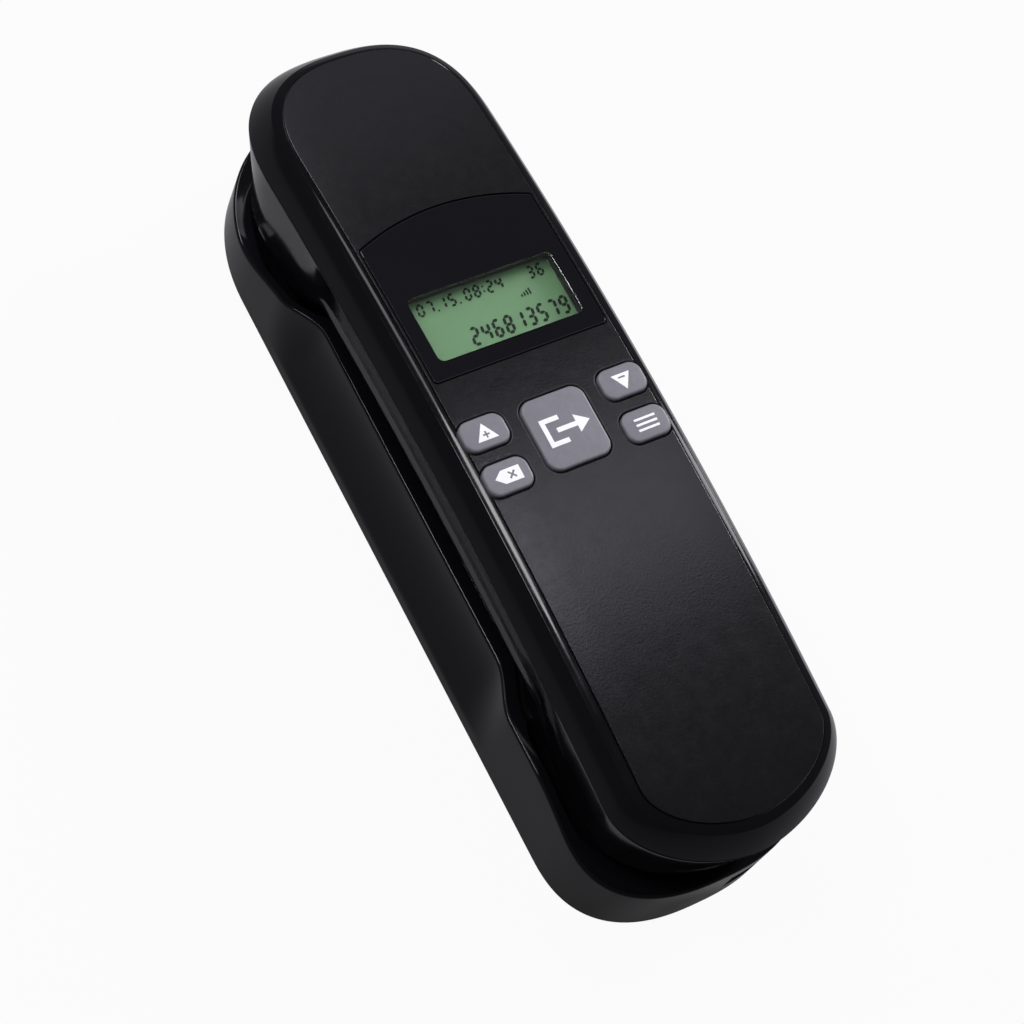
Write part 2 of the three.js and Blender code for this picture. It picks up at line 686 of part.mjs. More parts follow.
// Front shell of the handset: the deeper half with the ear and mouth bulges
function buildFrontShell() {
  const outer = curl(under.taper, under.span, under.rise, underZ, bulgeOutline);
  outer.push([0, arched(level.parting - seam / 2)]);
  outer.push([lip.inset, arched(level.parting - seam / 2)]);
  outer.push([lip.inset, arched(level.parting + lip.height)]);
  const innerSpan = under.span - wall * under.innerShare;
  const inner = curl(under.taper + wall, innerSpan, under.rise, (y) => underZ(y) + wall, bulgeOutline);
  inner.push([wall, arched(level.parting)]);
  inner.push([wall, arched(level.parting + lip.height + overcut)]);
  let shell = cut(stack(handsetOutline, outer), stack(handsetOutline, inner));
  for (const key of numberKeys) {
    const halfX = key.halfX + slideGap;
    const halfY = numberKey.halfY + slideGap;
    const hole = boxOutline(key.x, key.y, halfX, halfY, numberKey.holeCorner, steps.hole);
    const low = arched(level.keyFace - overcut);
    shell = cut(shell, stack(hole, [[0, low], [0, arched(level.keyFace + wall + overcut)]]));
  }
  const earLow = ear.face - overcut;
  const earHigh = ear.face + wall + overcut;
  shell = cut(shell, post(0, ear.centreY, receiver.holeRadius, earLow, earHigh, steps.pinhole));
  for (let k = 0; k < receiver.holes; k += 1) {
    const angle = (4 * quarterTurn * k) / receiver.holes;
    const x = receiver.ringRadius * Math.cos(angle);
    const y = ear.centreY + receiver.ringRadius * Math.sin(angle);
    shell = cut(shell, post(x, y, receiver.holeRadius, earLow, earHigh, steps.pinhole));
  }
  const micHigh = mouth.face + wall + overcut;
  shell = cut(shell, post(0, mouth.micY, mic.holeRadius, mouth.face - overcut, micHigh, steps.pinhole));
  for (const y of [handsetScrew.lowY, handsetScrew.highY]) {
    shell = join(shell, post(0, y, boss.radius, underZ(y) + wall / 2, handsetScrew.splitZ));
    shell = cut(shell, post(0, y, boss.well, ear.face - overcut, handsetScrew.seatZ));
    shell = cut(shell, post(0, y, boss.hole, ear.face, handsetScrew.splitZ + overcut, steps.small));
  }
  for (const x of [-support.x, support.x]) {
    for (const y of [support.lowY, support.highY]) {
      const high = chord(keyBoard.bottom - restGap, keyBoard)(x, y);
      shell = join(shell, post(x, y, support.radius, underZ(y) + wall / 2, high, steps.small));
    }
  }
  const mouthLow = handsetJack.bottomZ + smallJack.mouthLift;
  const half = smallJack.mouthHalfX;
  const mouthHigh = mouthLow + smallJack.mouthHeight;
  const seat = box(
    -smallJack.halfX - fitGap,
    smallJack.halfX + fitGap,
    handsetJack.frontY - fitGap,
    handsetJack.frontY + smallJack.depth,
    handsetJack.bottomZ - fitGap,
    handsetJack.bottomZ + smallJack.height + fitGap,
  );
  const innerY = handsetJack.frontY + overcut;
  const opening = box(-half, half, handset.lowTip - overcut, innerY, mouthLow, mouthHigh);
  return cut(shell, seat, opening);
}
add(handsetGroup, 'handset_back_shell', buildBackShell(), look.gloss);
add(handsetGroup, 'handset_front_shell', buildFrontShell(), look.gloss);

// Lens over the display, and the printed mask under the lens
const lensTop = level.top - lens.sink;
const lensLow = lensTop - lens.thick;
const maskLow = lensLow - mask.thick;
const lensPlate = stack(lensOutline(0), [[0, arched(lensLow)], [0, arched(lensTop)]]);
const maskPlate = stack(lensOutline(0), [[0, arched(maskLow)], [0, arched(lensLow - restGap)]]);
const maskWindow = boxOutline(0, view.y, view.halfX, view.halfY, view.corner);
const maskHole = stack(maskWindow, [[0, arched(maskLow - overcut)], [0, arched(lensTop)]]);
add(handsetGroup, 'lcd_lens', lensPlate, look.lens);
add(handsetGroup, 'lens_mask', cut(maskPlate, maskHole), look.film);

// A slab that follows the flat plane of a board
function slab(outline, board, low, high) {
  return stack(outline, [[0, chord(low, board)], [0, chord(high, board)]]);
}

// Display glass in its holder, with the contact strip between the glass and the board
const glassLow = glass.level - glass.thick;
const glassOutline = boxOutline(0, view.y, glass.halfX, glass.halfY);
const bedOutline = boxOutline(0, view.y, glass.halfX + fitGap, glass.halfY + fitGap);
const holderOutline = boxOutline(0, view.y, holder.halfX, holder.halfY, holder.edge);
const stripY = view.y + strip.offsetY;
const stripOutline = boxOutline(0, stripY, strip.halfX, strip.halfY);
const slotOutline = boxOutline(0, stripY, strip.halfX + fitGap, strip.halfY + fitGap);
const stripHigh = glassLow - 2 * restGap;
const holderBody = cut(
  slab(holderOutline, displayBoard, holder.lowLevel, glass.level - holder.edge),
  slab(bedOutline, displayBoard, glassLow - restGap, glass.level + overcut),
  slab(slotOutline, displayBoard, holder.lowLevel - overcut, glassLow + overcut),
);
const stripBody = slab(stripOutline, displayBoard, holder.lowLevel + restGap, stripHigh);
add(handsetGroup, 'lcd_panel', slab(glassOutline, displayBoard, glassLow, glass.level), look.lcd);
add(handsetGroup, 'lcd_holder', holderBody, look.capsule);
add(handsetGroup, 'lcd_strip', stripBody, look.rubber);

// The two boards
function boardSolid(board) {
  const centre = (board.lowY + board.highY) / 2;
  const outline = boxOutline(0, centre, board.halfX, (board.highY - board.lowY) / 2, board.corner);
  return slab(outline, board, board.bottom, board.bottom + board.thick);
}
add(handsetGroup, 'display_board', boardSolid(displayBoard), look.board);
add(handsetGroup, 'keypad_board', boardSolid(keyBoard), look.board);

// Rubber mat under the five buttons, with one raised pad for each
const boardTop = displayBoard.bottom + displayBoard.thick;
const matTop = boardTop + restGap + mat.thick;
const matHalfX = backKey.columnX + backKey.halfX * backKey.padShare + mat.margin;
const backMatOutline = boxOutline(0, backKey.centreY, matHalfX, backKey.bigHalfY + mat.margin, mat.margin);
let backMat = slab(backMatOutline, displayBoard, boardTop + restGap, matTop);
for (const key of backKeys) {
  const pad = boxOutline(key.x, key.y, key.halfX * backKey.padShare, key.halfY * backKey.padShare);
  backMat = join(backMat, slab(pad, displayBoard, matTop - restGap, backKey.padTop));
}
add(handsetGroup, 'back_key_mat', backMat, look.silicone);

// The five buttons, each a rounded cap on a wider flange
for (const key of backKeys) {
  const outline = boxOutline(key.x, key.y, key.halfX, key.halfY, key.corner, steps.backKey);
  const flangeTop = backKey.foot + backKey.flangeThick;
  const capTop = level.top + backKey.proud;
  const cap = stack(outline, [
    [-backKey.flange, arched(backKey.foot)],
    [-backKey.flange, arched(flangeTop)],
    [0, arched(flangeTop)],
    [0, arched(capTop - backKey.edge)],
    [backKey.edge / 2, arched(capTop - backKey.edge / 4)],
    [backKey.edge * 2, arched(capTop)],
  ]);
  add(handsetGroup, key.name, cap, look.key);
}

// Rubber mat over the number keys
const keyMatTop = keyBoard.bottom - restGap;
const keyMatLow = keyMatTop - mat.thick;
const keyTop = keyBoard.bottom - numberKey.topGap;
const matLowY = numberKey.wideY - numberKey.halfY - mat.margin;
const matHighY = numberKey.topRowY + numberKey.halfY + mat.margin;
const frontMatHalfX = numberKey.pitchX + numberKey.halfX + mat.margin;
const frontMatOutline = boxOutline(0, (matLowY + matHighY) / 2, frontMatHalfX, (matHighY - matLowY) / 2);
let frontMat = slab(frontMatOutline, keyBoard, keyMatLow, keyMatTop);
for (const key of numberKeys) {
  const pad = boxOutline(key.x, key.y, key.halfX * backKey.padShare, numberKey.halfY * backKey.padShare);
  frontMat = join(frontMat, slab(pad, keyBoard, keyTop + numberKey.padTravel, keyMatLow + restGap));
}
add(handsetGroup, 'front_key_mat', frontMat, look.silicone);

// The number keys: caps that stand out of the inner face, with stems up to the flat board
for (const key of numberKeys) {
  const outline = boxOutline(key.x, key.y, key.halfX, numberKey.halfY, numberKey.corner);
  const flangeLow = level.keyFace + wall + slideGap;
  const capLow = level.keyFace - numberKey.proud;
  const cap = stack(outline, [
    [numberKey.edge, arched(capLow)],
    [0, arched(capLow + numberKey.edge)],
    [0, arched(flangeLow)],
    [-numberKey.flange, arched(flangeLow)],
    [-numberKey.flange, arched(flangeLow + numberKey.flangeThick)],
    [0, arched(flangeLow + numberKey.flangeThick)],
    [0, chord(keyTop, keyBoard)],
  ]);
  add(handsetGroup, key.name, cap, look.numberKey);
}

// A ring that lies flat on its lower face
function ringSolid(outer, inner, height) {
  return turned([[inner, 0], [outer, 0], [outer, height], [inner, height], [inner, 0]]);
}

// Receiver capsule on its gasket over the ear face
const gasketLow = ear.face + wall + restGap;
const capsuleLow = gasketLow + gasket.thick + restGap;
const receiverTop = receiver.radius - receiver.rimStep;
const receiverBody = turned([
  [0, 0],
  [receiver.radius, 0],
  [receiver.radius, receiver.rimHeight],
  [receiverTop, receiver.rimHeight],
  [receiverTop, receiver.height],
  [0, receiver.height],
]);
const gasketBody = ringSolid(gasket.outer, gasket.inner, gasket.thick);
add(handsetGroup, 'receiver_gasket', gasketBody, look.rubber, 0, ear.centreY, gasketLow);
add(handsetGroup, 'receiver_capsule', receiverBody, look.capsule, 0, ear.centreY, capsuleLow);

// Microphone capsule in its rubber boot over the mouth hole
const micLow = mouth.face + wall + restGap;
const micBody = turned([[0, 0], [mic.radius, 0], [mic.radius, mic.height], [0, mic.height]]);
const bootInner = mic.radius + fitGap;
const bootBody = ringSolid(bootInner + mic.bootWall, bootInner, mic.height - mic.bootRise);
add(handsetGroup, 'microphone_capsule', micBody, look.steel, 0, mouth.micY, micLow);
add(handsetGroup, 'mic_boot', bootBody, look.rubber, 0, mouth.micY, micLow);

// A modular socket with its mouth at zero Y: a square mouth and a keyway above it for the latch
function socket(jack) {
  const half = jack.mouthHalfX;
  const lowZ = jack.mouthLift;
  const highZ = lowZ + jack.mouthHeight;
  return cut(
    box(-jack.halfX, jack.halfX, 0, jack.depth, 0, jack.height),
    box(-half, half, -overcut, jack.mouthDepth, lowZ, highZ),
    box(-latch.halfX, latch.halfX, -overcut, jack.mouthDepth, lowZ, highZ + latch.height),
  );
}
const handsetSocket = socket(smallJack);
add(handsetGroup, 'handset_jack', handsetSocket, look.socket, 0, handsetJack.frontY, handsetJack.bottomZ);

// A screw with its head down and a cross slot in the head
function screwSolid() {
  const far = screw.slotReach;
  const near = screw.slotHalf;
  const body = turned([
    [0, 0],
    [screw.headRadius, 0],
    [screw.headRadius, screw.headHeight],
    [screw.shankRadius, screw.headHeight],
    [screw.shankRadius, screw.headHeight + screw.length],
    [0, screw.headHeight + screw.length],
  ], steps.small);
  return cut(
    body,
    box(-far, far, -near, near, -overcut, screw.slotDepth),
    box(-near, near, -far, far, -overcut, screw.slotDepth),
  );
}
const screwBody = screwSolid();
const handsetHeadZ = handsetScrew.seatZ - restGap - screw.headHeight;
add(handsetGroup, 'handset_screw_1', screwBody, look.steel, 0, handsetScrew.lowY, handsetHeadZ);
add(handsetGroup, 'handset_screw_2', screwBody, look.steel, 0, handsetScrew.highY, handsetHeadZ);

// Places of the four base screws and the four feet
const screwPlaces = [];
const footPlaces = [];
for (const side of [-1, 1]) {
  screwPlaces.push([side * baseScrew.x, baseScrew.lowY], [side * baseScrew.x, baseScrew.highY]);
  footPlaces.push([side * foot.x, foot.lowY], [side * foot.x, foot.highY]);
}
const coverLow = foot.height;
const coverTop = coverLow + cover.thick;
const screwBossTop = coverTop + baseScrew.coverRise;
const boardLow = coverTop + baseBoard.lift;
const onBoard = boardLow + baseBoard.thick + restGap;

// Top shell of the base: outer wall with a scooped waist, cradle pocket and hollow underside
function buildTopShell() {
  const outer = [];
  const hollow = [[pocket.wall, flat(coverLow - overcut)]];
  const ceiling = (x, y) => floorZ(y) - pocket.floorThick;
  for (let k = 0; k < steps.baseWall; k += 1) {
    const share = k / (steps.baseWall - 1);
    outer.push([0, (x, y) => coverLow + (rimZ(y) - rim.edge - coverLow) * share]);
    hollow.push([pocket.wall, (x, y) => coverTop + (ceiling(x, y) - coverTop) * share]);
  }
  for (let k = 1; k <= 2; k += 1) {
    const angle = (quarterTurn * k) / 2;
    outer.push([rim.edge * (1 - Math.cos(angle)), (x, y) => rimZ(y) - rim.edge * (1 - Math.sin(angle))]);
  }
  const well = curl(pocket.wall, pocket.span, pocket.rise, floorZ, baseOutline);
  well.push([pocket.wall, () => rim.mid + pocket.rise]);
  let shell = cut(
    stack(baseOutline, outer, scoopAt),
    stack(baseOutline, well, scoopAt),
    stack(baseOutline, hollow, scoopAt),
  );
  for (const [x, y] of screwPlaces) {
    const low = screwBossTop + seam;
    shell = join(shell, post(x, y, boss.radius, low, ceiling(x, y) + pocket.floorThick / 2));
    shell = cut(shell, post(x, y, boss.hole, low - overcut, screwBossTop + screw.length, steps.small));
  }
  const guide = post(0, hook.y, hook.stem + slideGap, ceiling(0, hook.y) - overcut, floorZ(hook.y) + overcut);
  const jackLow = onBoard + smallJack.mouthLift;
  const jackHigh = jackLow + smallJack.mouthHeight;
  const endLow = baseJack.x - smallJack.mouthHalfX;
  const endHigh = baseJack.x + smallJack.mouthHalfX;
  const endMouth = box(endLow, endHigh, base.lowTip - overcut, baseJack.frontY + overcut, jackLow, jackHigh);
  const sideLow = lineJack.y - bigJack.mouthHalfX;
  const sideHigh = lineJack.y + bigJack.mouthHalfX;
  const outside = base.halfWidth + overcut;
  const sideMouth = box(lineJack.frontX - overcut, outside, sideLow, sideHigh, jackLow, jackHigh);
  const slotReach = knob.halfY + ringer.travel / 2 + slideGap;
  const knobSlot = box(
    base.halfWidth - pocket.wall - overcut,
    outside,
    ringer.y - slotReach,
    ringer.y + slotReach,
    ringer.z - knob.halfZ - slideGap,
    ringer.z + knob.halfZ + slideGap,
  );
  return cut(shell, guide, endMouth, sideMouth, knobSlot);
}
add(baseGroup, 'base_top_shell', buildTopShell(), look.gloss);

// Bottom cover with screw wells, foot recesses, board pegs and sound slots
function buildCover() {
  const inset = pocket.wall + seam;
  let plate = stack(baseOutline, [[inset, flat(coverLow)], [inset, flat(coverTop)]]);
  for (const [x, y] of screwPlaces) {
    plate = join(plate, post(x, y, boss.radius, coverTop - restGap, screwBossTop));
    plate = cut(plate, post(x, y, boss.well, coverLow - overcut, screwBossTop - boss.web));
    plate = cut(plate, post(x, y, boss.hole, coverLow, screwBossTop + overcut, steps.small));
  }
  for (const x of [-peg.x, peg.x]) {
    for (const y of [peg.lowY, peg.highY]) {
      plate = join(plate, post(x, y, peg.radius, coverTop - restGap, boardLow - restGap, steps.pinhole));
    }
  }
  for (const [x, y] of footPlaces) {
    plate = cut(plate, post(x, y, foot.radius + fitGap, coverLow - overcut, coverLow + foot.sink + restGap));
  }
  for (let k = -slot.eachSide; k <= slot.eachSide; k += 1) {
    const lowX = slot.pitch * k - slot.halfX;
    const highX = slot.pitch * k + slot.halfX;
    const lowY = buzzer.y - slot.halfY;
    plate = cut(plate, box(lowX, highX, lowY, buzzer.y + slot.halfY, coverLow - overcut, coverTop + overcut));
  }
  return plate;
}
add(baseGroup, 'base_bottom_cover', buildCover(), look.matte);

// Feet and base screws
const footBody = turned([
  [0, 0],
  [foot.radius - foot.edge, 0],
  [foot.radius, foot.edge],
  [foot.radius, foot.height + foot.sink],
  [0, foot.height + foot.sink],
], steps.post);
footPlaces.forEach(([x, y], i) => add(baseGroup, `foot_${i + 1}`, footBody, look.rubber, x, y));
const baseHeadZ = screwBossTop - boss.web - restGap - screw.headHeight;
screwPlaces.forEach(([x, y], i) => {
  add(baseGroup, `base_screw_${i + 1}`, screwBody, look.steel, x, y, baseHeadZ);
});

// Ballast plate under the waist of the cradle
const weightMid = (weight.lowY + weight.highY) / 2;
const weightLow = coverTop + weight.lift;
const weightOutline = boxOutline(0, weightMid, weight.halfX, (weight.highY - weight.lowY) / 2, weight.corner);
add(baseGroup, 'base_weight', stack(weightOutline, [
  [0, flat(weightLow)],
  [0, flat(weightLow + weight.thick - weight.edge)],
  [weight.edge, flat(weightLow + weight.thick)],
]), look.steel);

// Circuit board of the base with an arm under the line socket, and the two sockets on it
const armHighY = lineJack.y + (lineJack.y - baseBoard.armLowY);
const boardHigh = boardLow + baseBoard.thick;
const boardHalf = baseBoard.halfX;
const boardMain = box(-boardHalf, boardHalf, baseBoard.lowY, baseBoard.highY, boardLow, boardHigh);
const boardArm = box(0, baseBoard.armHighX, baseBoard.armLowY, armHighY, boardLow, boardHigh);
add(baseGroup, 'base_board', join(boardMain, boardArm), look.board);
add(baseGroup, 'base_handset_jack', socket(smallJack), look.socket, baseJack.x, baseJack.frontY, onBoard);
const lineBody = socket(bigJack);
const lineSocket = add(baseGroup, 'line_jack', lineBody, look.socket, lineJack.frontX, lineJack.y, onBoard);
lineSocket.rotation.z = quarterTurn;

// Plunger that the handset holds down
const hookFloor = floorZ(hook.y) - pocket.floorThick;
const flangeTop = hookFloor - restGap - hook.travel;
const flangeLow = flangeTop - hook.flangeThick;
const headTop = underZ(hook.y) - hook.headGap;
const plungerBody = turned([
  [0, 0],
  [hook.flange, 0],
  [hook.flange, hook.flangeThick],
  [hook.stem, hook.flangeThick],
  [hook.stem, headTop - flangeLow - hook.edge],
  [hook.stem - hook.edge, headTop - flangeLow],
  [0, headTop - flangeLow],
]);
add(baseGroup, 'hook_plunger', plungerBody, look.capsule, 0, hook.y, flangeLow);

// Coil spring that lifts the plunger
class Helix extends THREE.Curve {
  constructor(radius, height, turns) {
    super();
    this.radius = radius;
    this.height = height;
    this.turns = turns;
  }

  getPoint(t, target = new THREE.Vector3()) {
    const angle = 4 * quarterTurn * this.turns * t;
    return target.set(this.radius * Math.cos(angle), this.radius * Math.sin(angle), this.height * t);
  }
}
const coilHeight = flangeLow - onBoard - 2 * restGap - 2 * coil.wire;
const wireShape = new THREE.Shape();
wireShape.absarc(0, 0, coil.wire, 0, 4 * quarterTurn, false);
const coilGeometry = new THREE.ExtrudeGeometry(wireShape, {
  steps: coil.turns * coil.stepsPerTurn,
  curveSegments: coil.sides,
  extrudePath: new Helix(coil.radius, coilHeight, coil.turns),
});
add(baseGroup, 'hook_spring', solidOf(coilGeometry), look.steel, 0, hook.y, onBoard + restGap + coil.wire);

// Switch beside the spring, with a stub under the edge of the plunger flange
const stubTop = flangeLow - restGap;
const switchTop = stubTop - hookSwitch.stub;
const switchLowX = hookSwitch.x - hookSwitch.halfX;
const switchHighX = hookSwitch.x + hookSwitch.halfX;
const stubLowX = -hook.flange + hookSwitch.gap;
const stubHalf = hookSwitch.stubHalf;
const switchCase = box(
  switchLowX,
  switchHighX,
  hook.y - hookSwitch.halfY,
  hook.y + hookSwitch.halfY,
  onBoard,
  switchTop,
);
const stubLowY = hook.y - stubHalf;
const stubHighY = hook.y + stubHalf;
const stub = box(stubLowX, stubLowX + stubHalf, stubLowY, stubHighY, switchTop - restGap, stubTop);
add(baseGroup, 'hook_switch', join(switchCase, stub), look.capsule);

// Ringer sounder over the sound slots
const buzzerBody = cut(
  turned([
    [0, 0],
    [buzzer.radius, 0],
    [buzzer.radius, buzzer.thick - buzzer.step],
    [buzzer.radius - buzzer.step, buzzer.thick],
    [0, buzzer.thick],
  ]),
  post(0, 0, buzzer.holeRadius, -overcut, buzzer.holeDepth, steps.small),
);
add(baseGroup, 'ringer_buzzer', buzzerBody, look.capsule, 0, buzzer.y, buzzer.low);

// Slide switch inside the right wall; its knob stays just under the wall surface
const switchFace = base.halfWidth - pocket.wall - ringer.backGap;
const channelY = knob.halfY + ringer.travel / 2 + slideGap;
const channelZ = knob.halfZ + slideGap;
const switchBody = cut(
  box(-ringer.depth, 0, -ringer.halfY, ringer.halfY, -ringer.halfZ, ringer.halfZ),
  box(-ringer.depth / 2, overcut, -channelY, channelY, -channelZ, channelZ),
);
add(baseGroup, 'ringer_switch_body', switchBody, look.capsule, switchFace, ringer.y, ringer.z);
const knobOut = base.halfWidth - knob.sink - switchFace;
const knobIn = knob.inner - ringer.depth / 2;
const knobBody = join(
  box(knobIn, knobOut - knob.rib, -knob.halfY, knob.halfY, -knob.halfZ, knob.halfZ),
  box(knobOut - 2 * knob.rib, knobOut, -knob.rib / 2, knob.rib / 2, -knob.halfZ, knob.halfZ),
);
add(baseGroup, 'ringer_switch_knob', knobBody, look.key, switchFace, ringer.y - ringer.travel / 2, ringer.z);

export default telephone;
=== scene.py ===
import json
import math

import bmesh
import bpy
import numpy as np
from mathutils import Matrix, Vector


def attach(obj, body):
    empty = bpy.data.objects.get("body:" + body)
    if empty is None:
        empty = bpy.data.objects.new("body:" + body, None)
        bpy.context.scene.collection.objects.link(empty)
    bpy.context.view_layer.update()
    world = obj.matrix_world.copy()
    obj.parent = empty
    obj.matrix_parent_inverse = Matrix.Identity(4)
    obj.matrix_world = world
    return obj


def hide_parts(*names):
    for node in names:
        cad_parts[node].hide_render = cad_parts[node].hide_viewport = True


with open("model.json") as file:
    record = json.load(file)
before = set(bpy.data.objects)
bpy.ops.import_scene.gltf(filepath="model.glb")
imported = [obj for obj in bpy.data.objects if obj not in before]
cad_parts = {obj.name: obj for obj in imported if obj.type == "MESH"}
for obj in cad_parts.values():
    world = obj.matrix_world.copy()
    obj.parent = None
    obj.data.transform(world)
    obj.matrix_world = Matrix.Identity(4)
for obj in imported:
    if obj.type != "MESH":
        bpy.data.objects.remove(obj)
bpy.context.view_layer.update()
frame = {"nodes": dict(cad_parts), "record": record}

# Slim corded telephone: a handset lying face down in its cradle base.
# Shapes are worked out in millimetres, in the same places as the frame's own solids.
MM = 0.001
QUARTER = math.pi / 2
# The drawing moves this far along y, so that the telephone's middle stands on the frame's origin
SHIFT_Y = 0.9
# Steps round each quarter of an end, the spacing along the sides, and steps round turned pieces
CORNER, STEP_Y = 40, 1.9
ROUND_SIDES, HOLE_SIDES = 64, 48
SMOOTH_ANGLE = 32

# Outlines: half width, tips, where the straight sides begin and end, and how square each end is
HAND = dict(half=28.2, low_tip=-103.4, low=-83.4, low_power=1.82, high=71.8, high_tip=101.0, high_power=2.6)
BULGE = dict(HAND, high_tip=99.5, high_power=2.2)
BASE = dict(half=29.75, low_tip=-102.2, low=-78.0, low_power=2.5, high=67.0, high_tip=101.6, high_power=2.1)

# Forms that follow the length: where each one starts, how far it runs, and its level or depth
ARCH = dict(middle=-12, run=100, drop=7.15)
EAR = dict(start=46, run=14, level=12.5)
MOUTH = dict(start=-52, run=14, level=19.5)
RIM = dict(level=25.6, edge=0.7)
RIM_EAR = dict(start=42, run=37, drop=11.1)
RIM_MOUTH = dict(start=-66, run=32, drop=6)
WAIST = dict(low=5, deep=4.15, start=-54, run=14, end=56, end_run=13)

# Handset: walls, the seam between its halves, levels above the table, and its edges in section
WALL, SEAM = 2.6, 0.3
TOP, PARTING, KEY_FACE, INNER_TOP = 56.5, 48.8, 27.5, 53.9
UNDER = dict(taper=2.6, span=7.4, rise=9.0, inner_span=5.84, soft=0.08)
INSIDE = dict(span=2.4, rise=3)
LIP = dict(inset=1.4, rise=1.4, edge=0.07)
TONGUE = dict(inset=1.6, rise=1.2)
SHADOW = dict(deep=0.3, drop=0.35)
BACK_WALL = dict(rise=6.05, lean=math.tan(math.radians(25.5)), bend=0.26)
KNEE, FACET = (0.14, 0.2), (0.42, 0.32)
CREST = dict(lean=2.7, span=2.9, step=0.38)
BEVEL_BOW = 0.045
CROWN = dict(drop=0.2, width=8.0)
GROOVE = CREST["lean"] + CREST["span"]
PANEL_GAP, PANEL_EDGE = 0.27, 0.17
PANEL_START = GROOVE + 0.44

# Lens, the window in it, and the display behind
LENS = dict(half=21.5, low=12.1, side=47.1, peak=51.5, corner=1.0, thick=1.1, sink=0.15, mask=0.3, gap=0.05)
BED = dict(gap=0.15, edge=0.18)
VIEW = dict(half_x=18.0, half_y=8.1, y=24.4, corner=1.6)
GLASS = dict(half_x=20.2, half_y=11.0, corner=0.6, low=51.4, film=53.4, top=54.0)
TOP_ROW = dict(low=28.9, high=32.1, width=1.84, stroke=0.57)
BIG_ROW = dict(low=18.4, high=23.0, width=2.3, stroke=0.74)
SLANT = 0.12

# Buttons on the back: x, y, half sizes and corner; then their caps
KEYS = {
    "out_key": (0.0, -7.35, 7.8, 8.6, 3.0),
    "up_key": (-17.2, -1.95, 5.4, 3.7, 2.6),
    "down_key": (17.2, -1.95, 5.4, 3.7, 2.6),
    "delete_key": (-17.2, -12.75, 5.4, 3.7, 2.6),
    "menu_key": (17.2, -12.75, 5.4, 3.7, 2.6),
}
KEY_GAP = 0.35
KEY_CAP = dict(proud=0.77, crown=0.3, edge=0.6, middle=0.25, flange=0.7, low=52.6, ledge=53.4)

# Keys on the inner face: x, y and half sizes; then their caps
PAD_TOP, PAD_STEP_X, PAD_STEP_Y = 27, 11.8, 10.4
PAD = {}
for row, ends in enumerate(("123", "456", "789", ("star", "0", "hash"))):
    for column, end in enumerate(ends):
        PAD["key_" + end] = (PAD_STEP_X * (1 - column), PAD_TOP - PAD_STEP_Y * row, 4.4, 3.2)
PAD["redial_key"] = (8.7, -18.0, 7.2, 3.2)
PAD["flash_key"] = (-8.7, -18.0, 7.2, 3.2)
PAD_CAP = dict(proud=1.4, crown=0.22, edge=0.45, middle=0.25, flange=0.5, thick=0.7, corner=1.8, mat=33.8)
PAD_HOLE = dict(corner=2.1, edge=0.3)

# Base: its pocket, cover, screws, feet and plunger
POCKET = dict(wall=2.4, span=7.2, rise=6.5, mid=22.5, thick=2.2, gap=0.5, reach=3, brim=0.35)
COVER_LOW, COVER_TOP, COVER_INSET, BASE_EDGE = 1.2, 3.6, 2.7, 0.3
SCREW = dict(shaft=1.6, head=3.15, boss=4.0)
SCREWS = [(side * 18.5, y) for side in (-1, 1) for y in (-82.0, 48.0)]
FOOT = dict(radius=4.5, height=1.7, edge=0.35)
FEET = [(side * 17.0, y) for side in (-1, 1) for y in (-70.0, 66.0)]
PLUNGER = dict(y=-70, radius=3, flange=7, thick=1.3, low=11.45, head=19.35)

# Box-shaped openings: limits along x, along y and in height
OPENINGS = dict(
    handset_mouth=(-3.9, 3.9, -104.4, -96.9, 26.8, 33.6),
    handset_seat=(-5.75, 5.75, -98.05, -85.3, 24.85, 35.75),
    base_mouth=(4.1, 11.9, -103.2, -95.9, 7.65, 14.45),
    line_mouth=(25.3, 30.75, -68.9, -59.1, 7.65, 14.45),
    ringer_slot=(26.35, 30.75, 56.35, 63.65, 5.45, 8.55),
)


# Forms that follow the length of the telephone
def ease(t):
    s = np.clip(t, 0, 1)
    return s * s * (3 - 2 * s)


def to_ear(y, form):
    """The share of a form that has set in, going towards the ear end."""
    return ease((y - form["start"]) / form["run"])


def to_mouth(y, form):
    return ease((form["start"] - y) / form["run"])


def sag(y):
    """How far the arched handset lies below its highest place."""
    return ARCH["drop"] * ((np.asarray(y, float) - ARCH["middle"]) / ARCH["run"]) ** 2


def arched(height):
    return lambda x, y: height - sag(y)


def under(y):
    """Level of the handset's inner face, which is lower at the ear and mouth bulges."""
    mid = KEY_FACE - sag(y)
    return mid + (EAR["level"] - mid) * to_ear(y, EAR) + (MOUTH["level"] - mid) * to_mouth(y, MOUTH)


def above_under(lift):
    return lambda x, y: under(y) + lift


def rim(y):
    return RIM["level"] - RIM_EAR["drop"] * to_ear(y, RIM_EAR) - RIM_MOUTH["drop"] * to_mouth(y, RIM_MOUTH)


def floor_z(y):
    """Level of the cradle's floor, a gap below all of the handset that is near."""
    reach = POCKET["reach"]
    near = np.minimum(np.minimum(under(y - reach), under(y)), under(y + reach))
    return np.minimum(near - POCKET["gap"], POCKET["mid"])


def scoop(y, z):
    """How far the waist of the base is drawn in."""
    along = to_ear(y, WAIST) * ease((WAIST["end"] - y) / WAIST["end_run"])
    up = np.clip((z - WAIST["low"]) / (rim(y) - WAIST["low"]), 0, 1)
    return WAIST["deep"] * along * np.sin(QUARTER * up)


def between(low, high, t):
    """A level that lies the share t of the way from one level to another."""
    return lambda x, y: low(y) * (1 - t) + high(y) * t


def panel_drop(x):
    """How far the crowned panel lies below its highest level, towards its long edges."""
    share = np.clip((HAND["half"] - np.abs(x) - PANEL_START) / CROWN["width"], 0, 1)
    return CROWN["drop"] * (1 - share) ** 2


